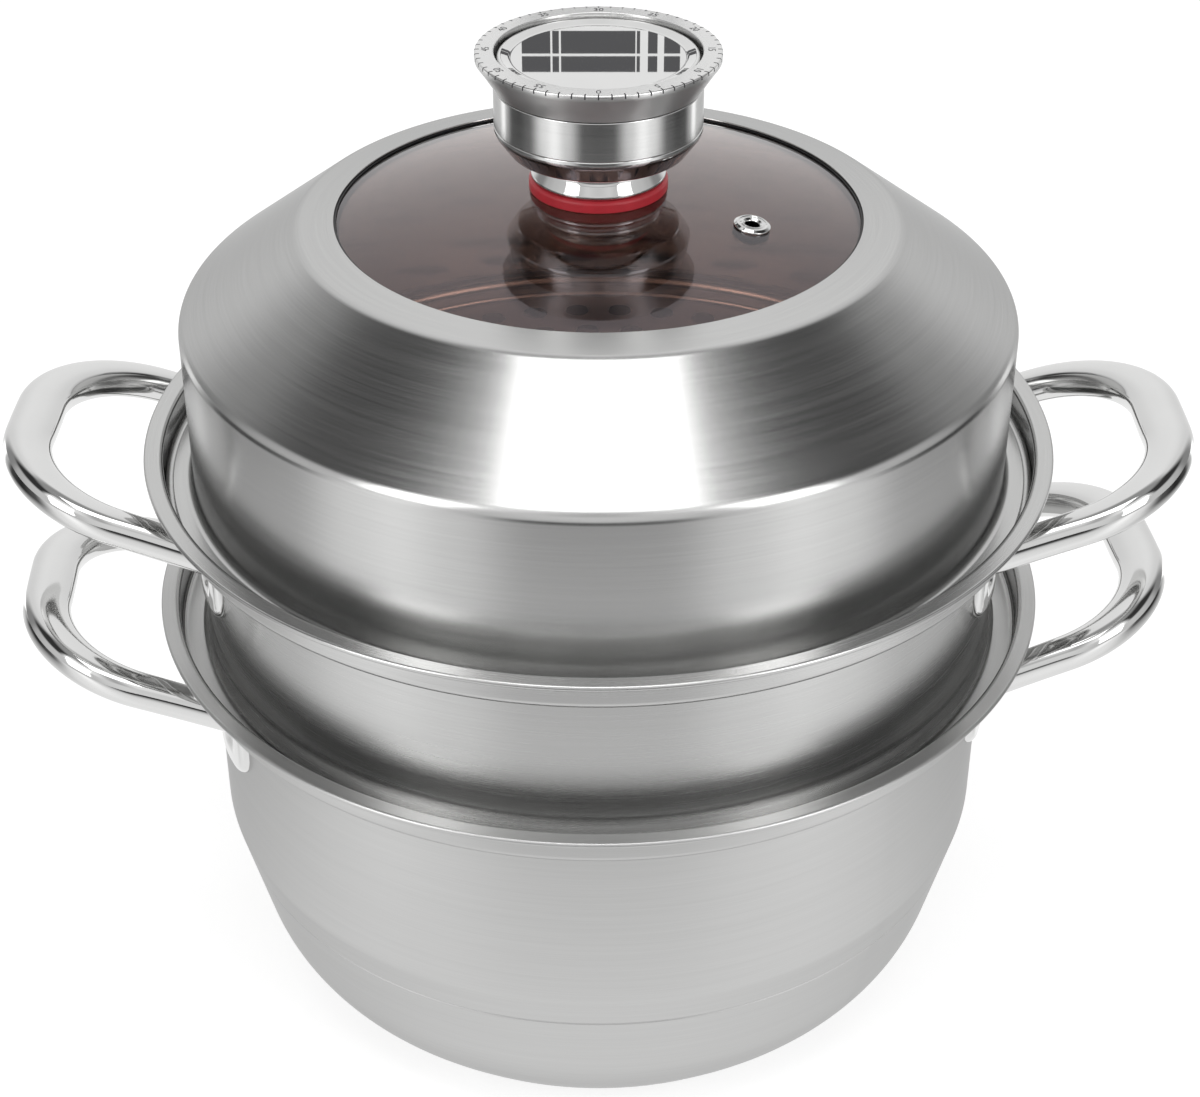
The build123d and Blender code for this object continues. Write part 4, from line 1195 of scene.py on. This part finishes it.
class KnobOperator(bpy.types.Operator):
    """Spin the knob's red gasket, its neck with the bowl, and its drum"""
    bl_idname = "steamer.knob"
    bl_label = "Knob"

    def execute(self, context):
        knob = context.scene.steamer_knob
        foot = high("knob_gasket") - knob.gasket_squeeze
        gasket = spun(*gasket_section(knob, context.scene.steamer_lid, foot))
        piece("knob_cushion", gasket, finish("red"), "lid", "red_silicone", "knob_gasket")
        neck = spun(*neck_section(knob, foot))
        piece("knob_stem", neck, finish("polished"), "lid", "polished_steel", "knob_neck")
        drum = spun(*drum_section(knob))
        piece("knob_barrel", drum, finish("drum_brushed"), "lid", "polished_steel", "knob_drum")
        return {"FINISHED"}


def face_level(knob):
    """Level of the dial's graduated face, under its marks."""
    return high("dial_ring") - knob.mark_depth


def ring_section(knob):
    """The dial's ring: cove, straight edge, graduated face and skirt."""
    outer, bottom, top = reach("dial_ring"), low("dial_ring"), face_level(knob)
    drum = reach("knob_drum")
    inner = outer - knob.dial_face
    skirt = drum - knob.sheet
    seat = low("dial_cap")
    edge = top - knob.dial_round - knob.dial_edge
    waist = (knob.cove_radius, bottom + knob.cove_height)
    cove, cove_slope = arc_through((drum, bottom), waist, (outer, edge), COVE_STEPS)
    rest = [(outer, edge), (outer, top), (inner, top), (inner, seat), (skirt, seat), (skirt, bottom)]
    rest.append((drum - CUT_EDGE, bottom))
    line, slope = rounded(rest, [knob.dial_round] + [CUT_EDGE] * 4)
    line = np.concatenate([cove, line[1:], cove[:1]])
    return line, np.concatenate([cove_slope, slope[1:], cove_slope[:1]])


def dish_section(knob):
    """The dial's cap: its underside from the axis out, then lip, slope and mirror back in."""
    rim, lip = reach("dial_cap"), high("dial_cap")
    mirror = lip - knob.cap_dish
    brim = rim - knob.cap_lip
    top = [(rim, low("dial_cap")), (rim, lip), (brim, lip), (brim - knob.cap_slope, mirror), (0, mirror)]
    under = offset(top, knob.sheet)[::-1]
    bends = [knob.dish_bend - knob.sheet, CUT_EDGE, SHARP, SHARP, SHARP]
    bends += [knob.cap_bend, knob.lip_bend, knob.dish_bend]
    return rounded(np.concatenate([under, top]), bends)


class DialOperator(bpy.types.Operator):
    """Spin the dial's ring with its cove, and the mirror dish inside it"""
    bl_idname = "steamer.dial"
    bl_label = "Dial"

    def execute(self, context):
        knob = context.scene.steamer_knob
        ring = spun(*ring_section(knob))
        piece("dial_bezel", ring, finish("bezel_satin"), "dial", "polished_steel", "dial_ring")
        dish = spun(*dish_section(knob))
        piece("dial_mirror", dish, finish("mirror"), "dial", "polished_steel", "dial_cap")
        return {"FINISHED"}


def number_mesh(text, height, depth):
    """Points and faces of a number that stands on the origin's level, with its middle on the origin."""
    curve = bpy.data.curves.new("number", "FONT")
    curve.body = text
    curve.size = height * FONT_SIZE
    curve.align_x, curve.align_y = "CENTER", "CENTER"
    curve.extrude = depth
    curve.resolution_u = FONT_CURVE_STEPS
    holder = placed("number", curve)
    shaped = holder.evaluated_get(bpy.context.evaluated_depsgraph_get())
    mesh = bpy.data.meshes.new_from_object(shaped)
    points = np.empty((len(mesh.vertices), 3))
    mesh.vertices.foreach_get("co", points.reshape(-1))
    faces = [tuple(face.vertices) for face in mesh.polygons]
    for made in (holder, curve, mesh):
        bpy.data.batch_remove([made])
    return points, faces


def dial_numbers(knob):
    """Mesh of the numbers round the face, which are read from the axis outwards."""
    points, faces = [], []
    start = 0
    for index in range(knob.numbers):
        minute = index * knob.minutes // knob.numbers
        flat, corners = number_mesh(str(minute), knob.number_height, knob.mark_depth)
        azimuth = 2 * pi * index / knob.numbers + FRONT
        right = np.array([sin(azimuth), -cos(azimuth), 0])
        up = np.array([cos(azimuth), sin(azimuth), 0])
        middle = up * knob.number_radius + [0, 0, face_level(knob)]
        points.append(flat @ [right, up, (0, 0, 1)] + middle)
        faces += [tuple(start + corner for corner in face) for face in corners]
        start += len(flat)
    mesh = bpy.data.meshes.new("dial_numbers")
    mesh.from_pydata(np.concatenate(points).tolist(), [], faces)
    return mesh


def minute_marks(knob):
    """Surface of the minute marks: thin strips over the face's rounded edge."""
    outer, top = reach("dial_ring"), face_level(knob)
    run = [(outer - knob.tick_length, top), (outer, top), (outer, top - knob.tick_drop)]
    line, slope = rounded(run, [knob.dial_round])
    normal = np.stack([-slope[:, 1], slope[:, 0]], 1)
    raised, sunk = line + knob.mark_depth * normal, line - knob.mark_depth * normal
    section = np.stack([sunk, raised, raised, sunk, sunk], 1)
    half = knob.tick_width / 2 / outer
    marks = []
    for azimuth in np.linspace(0, 2 * pi, knob.minutes, endpoint=False):
        angle = azimuth + half * np.array([1, 1, -1, -1, 1])
        c, s = np.cos(angle), np.sin(angle)
        points = np.stack([section[..., 0] * c, section[..., 0] * s, section[..., 1]], -1)
        normals = np.stack([normal[:, :1] * c, normal[:, :1] * s, normal[:, 1:] + 0 * angle], -1)
        marks.append(tube(points, normals))
    return joined(*marks)


class MarksOperator(bpy.types.Operator):
    """Print the numbers and the minute marks on the dial's face"""
    bl_idname = "steamer.marks"
    bl_label = "Dial marks"

    def execute(self, context):
        knob = context.scene.steamer_knob
        dressed("dial_numbers", dial_numbers(knob), finish("marking"), "dial", "black_silicone")
        piece("dial_ticks", minute_marks(knob), finish("marking"), "dial", "black_silicone")
        return {"FINISHED"}


class InnerOperator(bpy.types.Operator):
    """Give the pieces that stay as they are their materials"""
    bl_idname = "steamer.inner"
    bl_label = "Inner pieces"

    def execute(self, context):
        finishes = {"core_aluminium": "aluminium", "movement_brass": "brass", "movement_steel": "plain_steel",
                    "bell_steel": "plain_steel", "inner_steel": "turned_steel", "polished_steel": "polished",
                    "black_silicone": "black", "red_silicone": "red", "pot_steel": "plain_steel",
                    "tier_steel": "plain_steel", "lid_steel": "plain_steel", "smoked_glass": "smoked"}
        for part in frame["record"]["subparts"]:
            node = frame["nodes"][part["node"]]
            for slot in node.material_slots:
                slot.material = finish(finishes[part["material_slot"]])
        return {"FINISHED"}


def lamp(name, power, sides, place):
    """An area lamp that faces the steamer."""
    light = bpy.data.lights.new(name, "AREA")
    light.shape = "RECTANGLE"
    light.size, light.size_y = sides
    light.energy = power
    made = placed(name, light)
    made.location = place
    made.rotation_euler = (Vector(LAMP_AIM) - Vector(place)).to_track_quat("-Z", "Y").to_euler()


def cloth(tree, x, y, levels):
    """Brightness of the surroundings by azimuth, counted from the camera's side to both sides alike."""
    azimuth = calc(tree, "ARCTAN2", calc(tree, "ABSOLUTE", x), calc(tree, "MULTIPLY", y, -1.0))
    ramp = add(tree, "ShaderNodeValToRGB", {"Fac": calc(tree, "MULTIPLY", azimuth, 1 / pi)})
    ramp.color_ramp.interpolation = "EASE"
    stops = ramp.color_ramp.elements
    for place, level in levels:
        stop = stops.new(place / 180)
        stop.color = (level, level, level, 1)
    stops.remove(stops[0])
    stops.remove(stops[len(stops) - 1])
    return ramp.outputs[0]


def staged(name, points, faces, material):
    """An object of the studio."""
    mesh = bpy.data.meshes.new(name)
    mesh.from_pydata(points.tolist(), [], faces)
    mesh.materials.append(material)
    made = placed(name, mesh)
    return made


def studio_floor():
    """A wide pale floor that takes the shadow and shows white. Steel mirrors the studio's flags on it.

    From below it is clear, so that the base can be looked at.
    """
    material, tree = new_material("studio_floor")
    path = add(tree, "ShaderNodeLightPath").outputs
    shown = calc(tree, "MAXIMUM", path["Is Camera Ray"], path["Is Transmission Ray"])
    matt = add(tree, "ShaderNodeBsdfDiffuse", {"Color": FLOOR_GREY})
    glow = add(tree, "ShaderNodeEmission", {"Strength": calc(tree, "MULTIPLY", shown, FLOOR_GLOW)})
    plain = add(tree, "ShaderNodeAddShader", {0: matt.outputs[0], 1: glow.outputs[0]})
    place = add(tree, "ShaderNodeTexCoord").outputs["Object"]
    x, y, _ = add(tree, "ShaderNodeSeparateXYZ", {"Vector": place}).outputs
    far = add(tree, "ShaderNodeVectorMath", {0: place}, operation="LENGTH").outputs["Value"]
    light = blend(tree, climb(tree, far, FLOOR_FADE), NEAR_FLOOR, cloth(tree, x, y, FLOOR))
    mirrored = add(tree, "ShaderNodeEmission", {"Strength": light})
    both = add(tree, "ShaderNodeMixShader", {0: path["Is Glossy Ray"], 1: plain.outputs[0],
                                             2: mirrored.outputs[0]})
    under = add(tree, "ShaderNodeNewGeometry").outputs["Backfacing"]
    clear = add(tree, "ShaderNodeBsdfTransparent")
    show(tree, add(tree, "ShaderNodeMixShader", {0: under, 1: both.outputs[0], 2: clear.outputs[0]}))
    edges = np.array([-FLOOR_HALF, FLOOR_HALF])
    points = np.stack([*np.meshgrid(edges, edges), np.full((2, 2), FLOOR_LEVEL)], -1)
    staged("studio_floor", points.reshape(4, 3), [(0, 1, 3, 2)], material)


def window_panes():
    """Dark panes behind the knob, that the mirror dish shows and the camera doesn't."""
    material, tree = new_material("window_panes")
    show(tree, add(tree, "ShaderNodeEmission", {"Color": PANE_GREY}))
    columns, rows = np.array(PANES) * PANE_SPREAD, np.array(PANE_ROWS) * MM
    panes = np.stack(np.broadcast_arrays(columns[:, None, :, None], rows[None, :, None, :]), -1)
    corners = panes[:, :, [0, 1, 1, 0], [0, 0, 1, 1]].reshape(-1, 2)
    points = np.stack([corners[:, 0], np.full(len(corners), PANE_BACK), corners[:, 1]], -1)
    faces = np.arange(len(points)).reshape(-1, 4).tolist()
    staged("window_panes", points, faces, material).visible_camera = False


def surroundings(scene):
    """What steel and glass mirror, an even light for matt faces, and white for the camera.

    Low down, cloth runs round the studio. Above it the camera stands in a dim gap with a softbox at
    either side, then come a dark flag at about a quarter turn and cloth behind. The roof is dim.
    """
    scene.world = bpy.data.worlds.new("studio")
    tree = bare_tree(scene.world)
    heading = add(tree, "ShaderNodeTexCoord").outputs["Generated"]
    x, y, z = add(tree, "ShaderNodeSeparateXYZ", {"Vector": heading}).outputs
    raised = climb(tree, z, FLAG_HEIGHTS)
    overhead = climb(tree, z, ROOF_HEIGHTS, "SMOOTHSTEP")
    sides = blend(tree, raised, cloth(tree, x, y, CLOTH), cloth(tree, x, y, FLAGS))
    path = add(tree, "ShaderNodeLightPath").outputs
    lit = blend(tree, path["Is Diffuse Ray"], blend(tree, overhead, sides, ROOF_LIGHT), EVEN_LIGHT)
    level = blend(tree, path["Is Camera Ray"], lit, 1.0)
    back = add(tree, "ShaderNodeBackground", {"Color": (1, 1, 1, 1), "Strength": level})
    add(tree, "ShaderNodeOutputWorld", {"Surface": back.outputs[0]})


class StageOperator(bpy.types.Operator):
    """Set up the white studio: floor, panes, surroundings, softboxes and camera"""
    bl_idname = "steamer.stage"
    bl_label = "Stage"

    def execute(self, context):
        studio = context.scene.steamer_studio
        studio_floor()
        window_panes()
        surroundings(context.scene)
        x, y, z = SIDE_LAMP
        for side in (-1, 1):
            lamp(f"side_softbox_{side + 1}", studio.side_power, SIDE_LAMP_SIZE, (side * x, y, z))
        lamp("top_softbox", studio.top_power, TOP_LAMP_SIZE, TOP_LAMP)
        camera = placed("camera", bpy.data.cameras.new("camera"))
        camera.data.lens = studio.lens
        camera.data.shift_x = studio.camera_shift
        camera.location = (0, -studio.camera_back, studio.camera_height)
        camera.rotation_euler = (pi / 2 - studio.camera_pitch, 0, 0)
        context.scene.camera = camera
        context.scene.view_settings.view_transform = "Standard"
        return {"FINISHED"}


class SteamerPanel(bpy.types.Panel):
    """Buttons for every piece, in the order they are made"""
    bl_label = "Food steamer"
    bl_idname = "STEAMER_PT_pieces"
    bl_space_type = "VIEW_3D"
    bl_region_type = "UI"
    bl_category = "Steamer"

    def draw(self, context):
        for operator in OPERATORS:
            self.layout.operator(operator.bl_idname)


GROUPS = {"steamer_stack": StackSizes, "steamer_pot": PotSizes, "steamer_tier": TierSizes,
          "steamer_handle": HandleSizes, "steamer_lid": LidSizes, "steamer_knob": KnobSizes,
          "steamer_finishes": Finishes, "steamer_studio": Studio}
OPERATORS = (InnerOperator, PotOperator, TierOperator, TrayOperator, HandlesOperator, LidOperator,
             GlassOperator, SealOperator, VentOperator, KnobOperator, DialOperator, MarksOperator,
             StageOperator)


def register():
    for group in GROUPS.values():
        bpy.utils.register_class(group)
    for operator in OPERATORS:
        bpy.utils.register_class(operator)
    bpy.utils.register_class(SteamerPanel)
    for name, group in GROUPS.items():
        setattr(bpy.types.Scene, name, PointerProperty(type=group))


def unregister():
    for name in GROUPS:
        delattr(bpy.types.Scene, name)
    bpy.utils.unregister_class(SteamerPanel)
    for operator in reversed(OPERATORS):
        bpy.utils.unregister_class(operator)
    for group in reversed(GROUPS.values()):
        bpy.utils.unregister_class(group)


def main():
    register()
    for operator in OPERATORS:
        group, name = operator.bl_idname.split(".")
        getattr(getattr(bpy.ops, group), name)()


if __name__ == "__main__":
    main()
